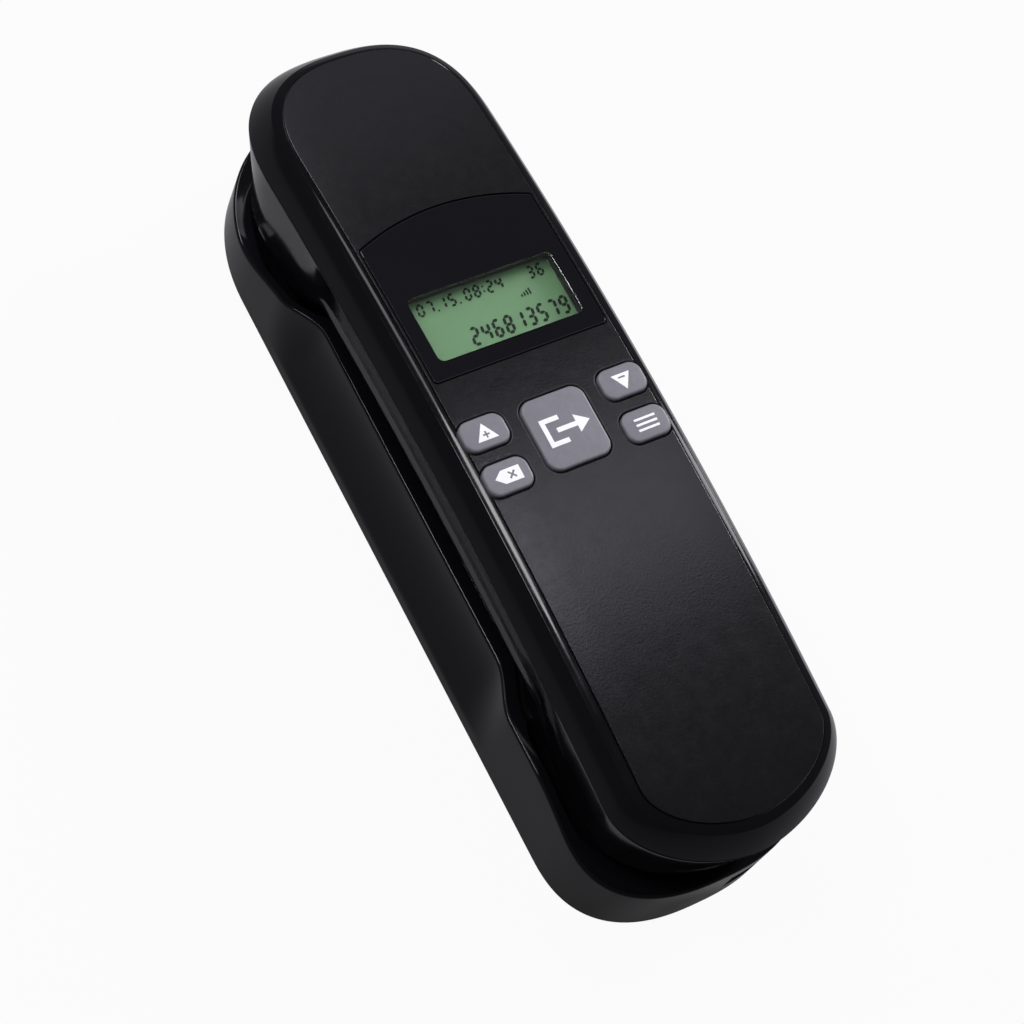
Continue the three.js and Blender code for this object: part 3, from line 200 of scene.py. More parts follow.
def chord_drop(y, low_y, high_y):
    """Like sag, but along a straight line between two places."""
    low, high = sag(low_y), sag(high_y)
    return low + (high - low) * (np.asarray(y, float) - low_y) / (high_y - low_y)


def on_board(level):
    return lambda x, y: level - chord_drop(y, -24, 48)


def arc(count):
    """Steps round a quarter turn, each as a share that falls from 1 to 0 and one that rises from 0 to 1."""
    turns = [QUARTER * k / count for k in range(count + 1)]
    return [(1 - math.sin(a), 1 - math.cos(a)) for a in turns]


def curve_point(start, knee, end, t):
    """A point on the curve that leaves start towards knee and arrives at end."""
    return (1 - t) ** 2 * start + 2 * t * (1 - t) * knee + t * t * end


# Outlines: half of each ring, from the low tip to the high tip
def body_half(shape, inset):
    turn = np.linspace(0, QUARTER, CORNER + 1)
    low_power, high_power = 2 / shape["low_power"], 2 / shape["high_power"]
    low_x, low_y = np.sin(turn) ** low_power, -np.cos(turn) ** low_power
    high_x, high_y = np.cos(turn) ** high_power, np.sin(turn) ** high_power
    low_x[0], high_x[-1], low_y[-1], high_y[0] = 0, 0, 0, 0
    count = int(round((shape["high"] - shape["low"]) / STEP_Y))
    mid = np.linspace(shape["low"], shape["high"], count + 1)[1:-1]
    low_run, high_run = shape["low"] - shape["low_tip"], shape["high_tip"] - shape["high"]
    share_x = np.concatenate([low_x, np.ones(len(mid)), high_x])
    plain = np.concatenate([shape["low"] + low_y * low_run, mid, shape["high"] + high_y * high_run])
    ins = inset(plain) if callable(inset) else np.full(len(plain), float(inset))
    n = CORNER + 1
    y = np.concatenate([
        shape["low"] + low_y * (low_run - ins[:n]), mid, shape["high"] + high_y * (high_run - ins[-n:]),
    ])
    return np.stack([share_x * (shape["half"] - ins), y], 1)


def box_half(cy, half_x, half_y, corner, rows=0):
    def half(inset):
        hx, hy = half_x - inset, half_y - inset
        r = max(0.02, min(corner - inset, hx - 0.01, hy - 0.01))
        a = np.linspace(0, QUARTER, 11)
        low, high = cy - hy, cy + hy
        side = np.linspace(low + r, high - r, rows + 2)[1:-1]
        xs = np.concatenate([[0], hx - r + r * np.sin(a), np.full(rows, hx), hx - r + r * np.cos(a), [0]])
        ys = np.concatenate([[low], low + r - r * np.cos(a), side, high - r + r * np.sin(a), [high]])
        return np.stack([xs, ys], 1)

    return half


def lens_half(grow):
    def half(inset):
        hx, low, side = LENS["half"] + grow - inset, LENS["low"] - grow + inset, LENS["side"] + grow - inset
        rise = LENS["peak"] - LENS["side"]
        c = max(0.1, LENS["corner"] - inset)
        a = np.linspace(0, QUARTER, 7)
        share = np.linspace(0, 1, 33)
        up = np.linspace(low + c, side, 20)[1:-1]
        xs = np.concatenate([[0], hx - c + c * np.sin(a), np.full(len(up), hx), hx * (1 - share)])
        ys = np.concatenate([[low], low + c - c * np.cos(a), up, side + rise * (1 - (1 - share) ** 2)])
        return np.stack([xs, ys], 1)

    return half


# Rings of points stacked into a closed mesh, with ladder caps at both ends
def loft(name, levels, cx=0.0, draw_in=None):
    """Each level is half of a ring, its height and the material slot of the faces that lead to it."""
    rings, kinds = [], []
    for half, z_of, kind in levels:
        x, y = half[:, 0], half[:, 1]
        right_x, left_x = cx + x, cx - x
        z = z_of(right_x, y) if callable(z_of) else np.full(len(y), float(z_of))
        left_z = z_of(left_x, y) if callable(z_of) else z
        if draw_in is not None:
            pull = draw_in(y, z)
            right_x, left_x = cx + np.maximum(0, x - pull), cx - np.maximum(0, x - pull)
        right = np.stack([right_x, y, z], 1)
        left = np.stack([left_x, y, left_z], 1)[1:-1][::-1]
        rings.append(np.concatenate([right, left]))
        kinds.append(kind)
    count = len(rings[0])
    faces, tags = [], []
    for r in range(len(rings) - 1):
        a = r * count
        for j in range(count):
            k = (j + 1) % count
            faces.append((a + j, a + k, a + count + k, a + count + j))
            tags.append(kinds[r + 1])
    last = (len(rings) - 1) * count
    for i in range(count // 2):
        b, c, d = i + 1, (count - i - 1) % count, (count - i) % count
        for first, loop, kind in ((last, (i, b, c, d), kinds[-1]), (0, (i, d, c, b), kinds[0])):
            faces.append(tuple(dict.fromkeys(first + j for j in loop)))
            tags.append(kind)
    return raw_object(name, np.concatenate(rings), faces, tags)


def linked_object(name, data):
    obj = bpy.data.objects.new(name, data)
    bpy.context.scene.collection.objects.link(obj)
    return obj


def rework(mesh, change):
    """Opens a mesh, lets change work on it and writes it back."""
    bm = bmesh.new()
    bm.from_mesh(mesh)
    change(bm)
    bm.to_mesh(mesh)
    bm.free()
    mesh.update()


def merge_doubles(bm):
    bmesh.ops.remove_doubles(bm, verts=bm.verts, dist=1e-5)
    bmesh.ops.dissolve_degenerate(bm, dist=1e-6, edges=bm.edges)


def face_outward(bm):
    bmesh.ops.recalc_face_normals(bm, faces=bm.faces)


def raw_object(name, verts, faces, tags=None):
    mesh = bpy.data.meshes.new(name)
    mesh.from_pydata([tuple(map(float, v)) for v in verts], [], [tuple(f) for f in faces])
    if tags is not None:
        mesh.polygons.foreach_set("material_index", np.array(tags, np.int32))
    rework(mesh, merge_doubles)
    return linked_object(name, mesh)


def slab(name, ring, low, top):
    """A straight-sided solid between two levels."""
    return loft(name, [(ring, low, 0), (ring, top, 0)])


def drop(obj):
    mesh = obj.data
    bpy.data.objects.remove(obj)
    bpy.data.meshes.remove(mesh)


def join_meshes(name, parts):
    bm = bmesh.new()
    for part in parts:
        bm.from_mesh(part.data)
        drop(part)
    mesh = bpy.data.meshes.new(name)
    bm.to_mesh(mesh)
    bm.free()
    return linked_object(name, mesh)


def combine(obj, tool, operation):
    m = obj.modifiers.new("combine", "BOOLEAN")
    m.operation, m.solver, m.object = operation, "MANIFOLD", tool
    bpy.context.view_layer.update()
    graph = bpy.context.evaluated_depsgraph_get()
    mesh = bpy.data.meshes.new_from_object(obj.evaluated_get(graph))
    obj.modifiers.clear()
    old, obj.data = obj.data, mesh
    bpy.data.meshes.remove(old)
    drop(tool)


def cut(obj, cutters, kind=0):
    """Cuts separate closed cutters out of obj in one go. The cut faces take the given material slot."""
    tool = join_meshes("cutter", cutters)
    while len(tool.data.materials) <= kind:
        tool.data.materials.append(None)
    tool.data.polygons.foreach_set("material_index", np.full(len(tool.data.polygons), kind, np.int32))
    combine(obj, tool, "DIFFERENCE")


def smooth_faces(bm):
    """Smooth shading, with sharp edges where two faces meet at more than SMOOTH_ANGLE."""
    limit = math.radians(SMOOTH_ANGLE)
    for f in bm.faces:
        f.smooth = True
    for e in bm.edges:
        e.smooth = not (len(e.link_faces) == 2 and e.calc_face_angle(0) > limit)


def add_looks(obj, materials):
    for m in materials:
        obj.data.materials.append(m)
    return obj


def place(obj, body, materials, replaces=()):
    """Turns millimetres into metres, smooths the mesh, gives it materials and lets it ride."""
    rework(obj.data, smooth_faces)
    obj.data.transform(Matrix.Translation(Vector((0, SHIFT_Y, 0)) * MM) @ Matrix.Scale(MM, 4))
    kinds = [p.material_index for p in obj.data.polygons]
    obj.data.materials.clear()
    add_looks(obj, materials)
    if len(materials) > 1:
        obj.data.polygons.foreach_set("material_index", kinds)
    flat = obj.modifiers.new("even_shading", "WEIGHTED_NORMAL")
    flat.mode, flat.weight, flat.keep_sharp = "FACE_AREA", 90, True
    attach(obj, body)
    if replaces:
        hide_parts(*replaces)
    return obj


def turned(profile, cx, cy, sides=ROUND_SIDES, closed=False):
    """A piece turned about a vertical axis. Its profile of (radius, z) ends on the axis or is closed."""
    verts, faces, rings = [], [], []
    angles = [2 * math.pi * k / sides for k in range(sides)]
    for r, z in profile:
        spots = arc_points(cx, cy, r, angles) if r > 0 else [(cx, cy)]
        rings.append(range(len(verts), len(verts) + len(spots)))
        verts += [(x, y, z) for x, y in spots]
    following = rings[1:] + (rings[:1] if closed else [])
    for p, q in zip(rings, following):
        for k in range(sides):
            n = (k + 1) % sides
            loop = [p[k % len(p)], p[n % len(p)], q[n % len(q)], q[k % len(q)]]
            loop = tuple(dict.fromkeys(loop))
            if len(loop) > 2:
                faces.append(loop)
    return verts, faces


def box_object(name, x0, x1, y0, y1, z0, z1):
    verts = [(x, y, z) for z in (z0, z1) for y in (y0, y1) for x in (x0, x1)]
    faces = [(0, 2, 3, 1), (4, 5, 7, 6), (0, 1, 5, 4), (2, 6, 7, 3), (0, 4, 6, 2), (1, 3, 7, 5)]
    return raw_object(name, verts, faces)


def opening(name):
    return box_object(name, *OPENINGS[name])


def rounded(profile, spots):
    """Rounds corners of a (radius, z) profile: spots gives the corner number and its radius."""
    out = []
    for i, p in enumerate(profile):
        if i in spots:
            a, c, b = (np.array(q, float) for q in (profile[i - 1], p, profile[i + 1]))
            u, v = (a - c) / np.linalg.norm(a - c), (b - c) / np.linalg.norm(b - c)
            for t in np.linspace(0, 1, 6):
                out.append(tuple(curve_point(c + u * spots[i], c, c + v * spots[i], t)))
        else:
            out.append(tuple(p))
    return out


# Materials, all made of nodes
def feed(tree, node, inputs):
    """Gives each of a node's inputs a plain value or another node's output."""
    for name, value in inputs.items():
        if isinstance(value, bpy.types.NodeSocket):
            tree.links.new(value, node.inputs[name])
        else:
            node.inputs[name].default_value = value


def add_node(tree, kind, inputs=()):
    node = tree.nodes.new("ShaderNode" + kind)
    feed(tree, node, dict(inputs))
    return node.outputs


def noise(tree, place_at, scale, detail, roughness=0.5):
    inputs = {"Vector": place_at, "Scale": scale, "Detail": detail, "Roughness": roughness}
    return add_node(tree, "TexNoise", inputs)["Fac"]


def remap(tree, value, low, high, to_low, to_high):
    """Turns values between low and high into values between to_low and to_high."""
    inputs = {"Value": value, "From Min": low, "From Max": high, "To Min": to_low, "To Max": to_high}
    return add_node(tree, "MapRange", inputs)["Result"]


def mixed_colour(tree, blend, share, first, second):
    node = tree.nodes.new("ShaderNodeMix")
    node.data_type, node.blend_type = "RGBA", blend
    feed(tree, node, {"Factor": share, 6: first, 7: second})
    return node.outputs[2]


def mixed_shader(tree, share, first, second):
    return add_node(tree, "MixShader", {0: share, 1: first, 2: second})[0]


def new_material(name):
    mat = bpy.data.materials.new(name)
    mat.use_nodes = True
    return mat, mat.node_tree, mat.node_tree.nodes["Principled BSDF"]


def material(name, colour, rough, speck=0.0, speck_scale=900.0, bump=0.0, bump_scale=2500.0, vary=0.12,
             vary_scale=35.0, rough_spread=0.05, rough_scale=60.0, metallic=0.0, specular=0.5):
    """A colour whose tone drifts, with specks, uneven gloss and, where bump is given, a fine relief."""
    mat, tree, shader = new_material(name)
    place_at = add_node(tree, "TexCoord")["Object"]
    dark = (*[c * (1 - vary) for c in colour], 1)
    light = (*[min(1, c * (1 + vary)) for c in colour], 1)
    tone = mixed_colour(tree, "MIX", noise(tree, place_at, vary_scale, 4), dark, light)
    specks = remap(tree, noise(tree, place_at, speck_scale, 2), 0.3, 0.7, 1 - speck, 1 + speck)
    smear = noise(tree, place_at, rough_scale, 5, 0.65)
    dull, sleek = min(1, rough + rough_spread), max(0.02, rough - rough_spread)
    feed(tree, shader, {
        "Base Color": mixed_colour(tree, "MULTIPLY", 1, tone, specks),
        "Roughness": remap(tree, smear, 0.35, 0.7, sleek, dull),
        "Metallic": metallic, "Specular IOR Level": specular,
    })
    if bump:
        relief = noise(tree, place_at, bump_scale, 2)
        bumper = add_node(tree, "Bump", {"Strength": bump, "Distance": 0.00005, "Height": relief})
        feed(tree, shader, {"Normal": bumper["Normal"]})
    return mat


def clear_material(name, tint):
    """Clear acrylic that lamps shine through, for the lens over the display."""
    mat, tree, shader = new_material(name)
    haze = noise(tree, add_node(tree, "TexCoord")["Object"], 40, 2)
    feed(tree, shader, {
        "Base Color": tint, "Transmission Weight": 1, "IOR": 1.47, "Specular IOR Level": 0.25,
        "Roughness": remap(tree, haze, 0, 1, 0, 0.02),
    })
    through = add_node(tree, "BsdfTransparent", {"Color": tint})[0]
    in_shadow = add_node(tree, "LightPath")["Is Shadow Ray"]
    surface = mixed_shader(tree, in_shadow, shader.outputs[0], through)
    feed(tree, tree.nodes["Material Output"], {"Surface": surface})
    return mat


GLOSS = material("moulded_gloss_black", (0.0046, 0.0045, 0.006), 0.1, specular=0.16, bump=0.012,
                 bump_scale=350, rough_spread=0.04)
PANEL = material("textured_satin_black", (0.0032, 0.003, 0.0042), 0.22, speck=0.25, bump=0.4,
                 bump_scale=2200, specular=0.4, rough_spread=0.025, rough_scale=300)
INNER = material("inner_black", (0.006, 0.006, 0.007), 0.5, speck=0.1)
FOIL = material("printed_mask_black", (0.002, 0.002, 0.0023), 0.5, specular=0.1)
LENS_EDGE = material("lens_black", (0.0055, 0.0053, 0.0075), 0.07, specular=0.24, rough_spread=0.02,
                     rough_scale=25)
KEY = material("button_grey", (0.178, 0.174, 0.198), 0.42, speck=0.05, bump=0.12, bump_scale=4200,
               rough_spread=0.04, vary=0.04)
PAD_KEY = material("number_key_black", (0.016, 0.016, 0.02), 0.4, speck=0.08, bump=0.1, bump_scale=4200)
INK = material("printed_white", (0.93, 0.93, 0.95), 0.45, speck=0.03, vary=0.02)
COVER = material("cover_matte_black", (0.012, 0.012, 0.013), 0.6, speck=0.15, bump=0.35, bump_scale=3000)
RUBBER = material("rubber_black", (0.014, 0.014, 0.015), 0.82, speck=0.15, bump=0.3, bump_scale=2200)
SILICONE = material("silicone_grey", (0.42, 0.42, 0.4), 0.7, speck=0.06, bump=0.15)
STEEL = material("zinc_plated_steel", (0.6, 0.61, 0.63), 0.3, speck=0.05, metallic=1.0, rough_spread=0.1)
BOARD = material("circuit_board_green", (0.012, 0.09, 0.035), 0.4, speck=0.1, vary=0.2)
PLASTIC = material("dark_grey_plastic", (0.035, 0.037, 0.042), 0.45, speck=0.08, bump=0.1)
SOCKET = material("socket_black", (0.01, 0.01, 0.011), 0.35, speck=0.06)
LCD = material("lcd_green", (0.08, 0.158, 0.077), 0.38, speck=0.02, speck_scale=3000, vary=0.05,
               vary_scale=25, rough_spread=0.03)
SEGMENT = material("lcd_segment", (0.002, 0.005, 0.003), 0.5, specular=0.1, vary=0.05)
CLEAR = clear_material("clear_lens", (0.9, 0.93, 0.9, 1))


# Back half of the handset
def back_levels():
    levels = []
    add = lambda inset, z, kind=0: levels.append((body_half(HAND, inset), z, kind))
    span, rise = INSIDE["span"], INSIDE["rise"]
    add(WALL + span, arched(INNER_TOP), 2)
    for falls, rises in arc(5):
        add(WALL + span * falls, arched(INNER_TOP - rise * rises), 2)
    low = PARTING + SEAM / 2
    add(WALL, arched(PARTING + LIP["rise"]), 2)
    add(LIP["inset"], arched(PARTING + LIP["rise"]), 2)
    add(LIP["inset"], arched(low), 2)
    edge, wall_rise = LIP["edge"], BACK_WALL["rise"] - CROWN["drop"]
    for falls, rises in arc(3):
        add(edge * falls, arched(low + edge * rises))
    lean = lambda t: wall_rise * (BACK_WALL["lean"] * t + 0.5 * BACK_WALL["bend"] * t * t)
    for t in np.linspace(0, 1, 16)[1:]:
        add(lean(t), arched(low + edge + (wall_rise - edge) * t))
    start = np.array((lean(1), low + wall_rise))
    facet = start + FACET
    for t in np.linspace(0, 1, 7)[1:]:
        inset, level = curve_point(start, start + KNEE, facet, t)
        add(inset, arched(level))
    edge_top = TOP - CREST["step"] - CROWN["drop"]
    bevel_end = np.array((GROOVE - 0.06, edge_top))
    for t in np.linspace(0, 1, 7)[1:]:
        inset, level = facet + (bevel_end - facet) * t
        add(inset, arched(level + BEVEL_BOW * math.sin(math.pi * t)))
    # The groove round the panel, narrow and nearly square
    add(GROOVE + 0.03, arched(edge_top - 0.06))
    add(GROOVE + 0.05, arched(edge_top - 0.35))
    add(GROOVE + 0.24, arched(edge_top - 0.37), 1)
    for falls, rises in arc(5):
        add(GROOVE + PANEL_GAP + PANEL_EDGE * rises, arched(TOP - CROWN["drop"] - PANEL_EDGE * falls), 1)
    for t in np.linspace(0, 1, 11)[1:]:
        add(PANEL_START + CROWN["width"] * t, arched(TOP - CROWN["drop"] * (1 - t) ** 2), 1)
    return levels


def pit(half, low, high, flare, cx=0.0):
    """A cutter whose upper mouth is flared, so that the edge it leaves in the back is rounded."""
    levels = [(half(0), arched(low), 0)]
    for falls, rises in arc(6):
        level = high - flare * falls
        levels.append((half(-flare * rises), lambda x, y, h=level: h - sag(y) - panel_drop(x), 0))
    levels.append((half(-flare), arched(high + 1), 0))
    return loft("pit", levels, cx)


def pit_down(half, low, high, flare, cx=0.0):
    """A cutter whose lower mouth is flared, for the inner face."""
    levels = [(half(-flare), arched(low - 1), 0)]
    for falls, rises in arc(6)[::-1]:
        levels.append((half(-flare * rises), arched(low + flare * falls), 0))
    levels.append((half(0), arched(high), 0))
    return loft("pit", levels, cx)


def make_back():
    shell = add_looks(loft("Handset_Back", back_levels()), [GLOSS, PANEL, INNER])
    bed_z = TOP - LENS["sink"] - LENS["thick"] - LENS["mask"] - LENS["gap"]
    cut(shell, [pit(lens_half(BED["gap"]), bed_z, TOP, BED["edge"])])
    window = box_half(VIEW["y"], VIEW["half_x"] + 0.6, VIEW["half_y"] + 0.6, VIEW["corner"])
    cut(shell, [pit(window, INNER_TOP - 1, TOP, 0.01)], 2)
    for x, y, hx, hy, corner in KEYS.values():
        half = box_half(y, hx + KEY_GAP, hy + KEY_GAP, corner + KEY_GAP)
        cut(shell, [pit(half, INNER_TOP - 1, TOP, KEY_GAP, x)])
    place(shell, "handset", [GLOSS, PANEL, INNER], ["handset_back_shell"])


# Front half of the handset, with the ear and mouth bulges
def front_levels():
    levels = []
    taper, rise, soft = UNDER["taper"], UNDER["rise"], UNDER["soft"]
    top = PARTING - SEAM / 2
    ledge = top - SHADOW["drop"]

    def add(inset, z, share=1.0, kind=0):
        half = body_half(BULGE, inset) * (1 - share) + body_half(HAND, inset) * share
        levels.append((half, z, kind))

    for falls, rises in arc(16):
        add(taper + UNDER["span"] * falls, above_under(rise * rises), 0)
    foot = lambda y: under(y) + rise
    crest = lambda y: ledge - LIP["edge"] - sag(y)
    whole = 1 - soft * (1 - math.exp(-1 / soft))
    for t in np.linspace(0, 1, 16)[1:]:
        share = (t - soft * (1 - math.exp(-t / soft))) / whole
        add(taper * (1 - share), between(foot, crest, t), t)
    for falls, rises in arc(3)[1:]:
        add(LIP["edge"] * rises, arched(ledge - LIP["edge"] * falls))
    tongue, tongue_top = TONGUE["inset"], PARTING + TONGUE["rise"]
    for inset, level in ((SHADOW["deep"], ledge), (SHADOW["deep"] + 0.02, top), (tongue, top),
                         (tongue, tongue_top), (WALL, tongue_top), (WALL, PARTING)):
        add(inset, arched(level), kind=1)
    for falls, rises in arc(8)[::-1]:
        add(taper + WALL + UNDER["inner_span"] * falls, above_under(WALL + rise * rises), 0, 1)
    return levels


def disc(cx, cy, radius, low, high, flare=0.0):
    """A round cutter; flare widens its lower end for a rounded edge."""
    profile = [(0, low), (radius + flare, low)]
    if flare:
        profile += [(radius + flare * rises, low + 1 + flare * falls) for falls, rises in arc(5)[::-1]]
    profile += [(radius, high), (0, high)]
    return raw_object("disc", *turned(profile, cx, cy, HOLE_SIDES))


def sound_hole(x, y, radius, level):
    return disc(x, y, radius, level - 1, level + WALL + 1, 0.25)


def make_front():
    shell = add_looks(loft("Handset_Front", front_levels()), [GLOSS, INNER])
    for x, y, hx, hy in PAD.values():
        half = box_half(y, hx + KEY_GAP, hy + KEY_GAP, PAD_HOLE["corner"])
        cut(shell, [pit_down(half, KEY_FACE, KEY_FACE + WALL + 1, PAD_HOLE["edge"], x)])
    ear_y, ring = 75.0, 5.2
    holes = [(0.0, ear_y)]
    holes += [(ring * math.cos(a), ear_y + ring * math.sin(a)) for a in np.arange(6) * math.pi / 3]
    cut(shell, [sound_hole(x, y, 1.1, EAR["level"]) for x, y in holes], 1)
    cut(shell, [sound_hole(0, -78, 1.2, MOUTH["level"])], 1)
    for y in (-54.0, 53.0):
        low = float(under(np.array(y)))
        combine(shell, disc(0, y, SCREW["boss"], low + WALL / 2, 38.0), "UNION")
        cut(shell, [disc(0, y, SCREW["head"], low - 4, 35.5)])
        cut(shell, [disc(0, y, SCREW["shaft"], 35.0, 39.0)])
    cut(shell, [opening("handset_mouth")], 1)
    cut(shell, [opening("handset_seat")], 1)
    place(shell, "handset", [GLOSS, INNER], ["handset_front_shell"])


# Lens with its clear window, and the printed mask
def lens_plate(name, half, low, top, edge):
    levels = [(half(0), arched(low), 0)]
    levels += [(half(edge * rises), arched(top - edge * falls), 0) for falls, rises in arc(5)]
    levels.append((half(edge + 0.1), arched(top), 0))
    return loft(name, levels)


def make_lens():
    top = TOP - LENS["sink"]
    low = top - LENS["thick"]
    window = box_half(VIEW["y"], VIEW["half_x"], VIEW["half_y"], VIEW["corner"], rows=8)
    lens = lens_plate("Display_Lens", lens_half(0), low, top, 0.25)
    cut(lens, [slab("hole", window(0), arched(low - 1), arched(top + 1))], 1)
    place(lens, "handset", [LENS_EDGE, FOIL], ["lcd_lens"])
    pane = slab("Display_Window", window(0.01), arched(top - 0.3), arched(top))
    place(pane, "handset", [CLEAR])
    mask_low = low - LENS["mask"]
    mask = slab("Lens_Mask", lens_half(0)(0), arched(mask_low), arched(low - LENS["gap"]))
    cut(mask, [slab("hole", window(0), arched(mask_low - 1), arched(low + 1))])
    place(mask, "handset", [FOIL], ["lens_mask"])


# Buttons with crowned tops and printed marks
def crown_of(x, y, hx, hy, crown):
    """Drop of a button's crowned face, as a function of the place on it."""
    return lambda px, py: crown * (0.5 * ((px - x) / hx) ** 2 + 0.5 * ((py - y) / hy) ** 2)


def make_back_keys():
    face, edge = TOP + KEY_CAP["proud"], KEY_CAP["edge"]
    for name, (x, y, hx, hy, corner) in KEYS.items():
        half = box_half(y, hx, hy, corner)
        drop_at = crown_of(x, y, hx, hy, KEY_CAP["crown"])
        flange, ledge = half(-KEY_CAP["flange"]), arched(KEY_CAP["ledge"])
        levels = [(flange, arched(KEY_CAP["low"]), 0), (flange, ledge, 0), (half(0), ledge, 0)]

        def side(inset, depth):
            ring = half(inset)
            down = depth + drop_at(x + ring[:, 0], ring[:, 1])
            levels.append((ring, lambda px, py: face - sag(py) - down, 0))

        for falls, rises in arc(9):
            side(edge * rises, edge * falls)
        for t in np.linspace(0, 1, 8)[1:]:
            side(edge + (min(hx, hy) - edge - KEY_CAP["middle"]) * t, 0.0)
        key = loft(name + "_cap", levels, x)
        place(key, name, [KEY], [name])
        back_icon(name, x, y, lambda px, py: face - sag(py) - drop_at(px, py))


def make_pad_keys():
    face, edge = KEY_FACE - PAD_CAP["proud"], PAD_CAP["edge"]
    flange = KEY_FACE + WALL + KEY_GAP
    for name, (x, y, hx, hy) in PAD.items():
        half = box_half(y, hx, hy, PAD_CAP["corner"])
        drop_at = crown_of(x, y, hx, hy, PAD_CAP["crown"])
        levels = []

        def side(inset, lift):
            ring = half(inset)
            up = lift + drop_at(x + ring[:, 0], ring[:, 1])
            levels.append((ring, lambda px, py: face - sag(py) + up, 0))

        for t in np.linspace(1, 0, 7)[:-1]:
            side(edge + (min(hx, hy) - edge - PAD_CAP["middle"]) * t, 0.0)
        for falls, rises in arc(7):
            side(edge * falls, edge * rises)
        for grow, level in ((0, 0), (PAD_CAP["flange"], 0), (PAD_CAP["flange"], PAD_CAP["thick"]),
                            (0, PAD_CAP["thick"])):
            levels.append((half(-grow), arched(flange + level), 0))
        levels.append((half(0), lambda px, py: PAD_CAP["mat"] - chord_drop(py, -46, 43), 0))
        key = loft(name + "_cap", levels, x)
        place(key, name, [PAD_KEY], [name])
        pad_icon(name, x, y, lambda px, py: face - sag(py) + drop_at(px, py))


# Printed marks, drawn flat and laid on the buttons
def prism(points, low=-1.0, high=1.0):
    n = len(points)
    turn = sum(points[i - 1][0] * points[i][1] - points[i][0] * points[i - 1][1] for i in range(n))
    points = points if turn > 0 else points[::-1]
    verts = [(x, y, low) for x, y in points] + [(x, y, high) for x, y in points]
    faces = [tuple(range(n - 1, -1, -1)), tuple(range(n, 2 * n))]
    faces += [(i, (i + 1) % n, n + (i + 1) % n, n + i) for i in range(n)]
    return verts, faces


def box_points(cx, cy, half_x, half_y):
    return [(cx + u * half_x, cy + v * half_y) for u, v in ((-1, -1), (1, -1), (1, 1), (-1, 1))]


def bar_points(start, end, width):
    """A straight stroke with square ends."""
    a, b = np.array(start, float), np.array(end, float)
    along = (b - a) / np.linalg.norm(b - a)
    across = np.array([-along[1], along[0]]) * width / 2
    return [tuple(a - across), tuple(b - across), tuple(b + across), tuple(a + across)]


def arc_points(cx, cy, radius, angles):
    return [(cx + radius * math.cos(t), cy + radius * math.sin(t)) for t in angles]


def ring_points(cx, cy, radius, start, end, width):
    turn = np.linspace(math.radians(start), math.radians(end), 21)
    return arc_points(cx, cy, radius + width / 2, turn) + arc_points(cx, cy, radius - width / 2, turn[::-1])


def star_points(points, outer, inner):
    out = []
    for k in range(2 * points):
        out += arc_points(0, 0, inner if k % 2 else outer, [math.pi / 2 + math.pi * k / points])
    return out


def shape_object(shapes, holes=()):
    obj = join_meshes("shape", [raw_object("shape", *prism(p)) for p in shapes])
    if holes:
        cut(obj, [raw_object("hole", *prism(p, -2, 2)) for p in holes])
    return obj


def slice_up(bm, grid):
    """Cuts a flat shape into squares, so that it can follow a curved surface."""
    xs, ys = [v.co.x for v in bm.verts], [v.co.y for v in bm.verts]
    for axis, lo, hi in ((0, min(xs), max(xs)), (1, min(ys), max(ys))):
        spot = lo + grid
        while spot < hi - 0.05:
            co, no = [0, 0, 0], [0, 0, 0]
            co[axis], no[axis] = spot, 1
            bmesh.ops.bisect_plane(bm, geom=bm.verts[:] + bm.edges[:] + bm.faces[:], plane_co=co, plane_no=no)
            spot += grid


def printed(name, obj, cx, cy, surface, body, mat, down=False, proud=0.03, sink=0.15, grid=0.6):
    """Lays a flat shape on a curved surface as a thin layer of ink."""
    def lay_on(bm):
        slice_up(bm, grid)
        for v in bm.verts:
            x, y = cx + (-v.co.x if down else v.co.x), cy + v.co.y
            z = float(surface(np.array(x), np.array(y)))
            step = proud if v.co.z > 0 else -sink
            v.co = (x, y, z - step if down else z + step)
        bmesh.ops.triangulate(bm, faces=bm.faces)
        face_outward(bm)

    rework(obj.data, lay_on)
    obj.name = name
    place(obj, body, [mat])


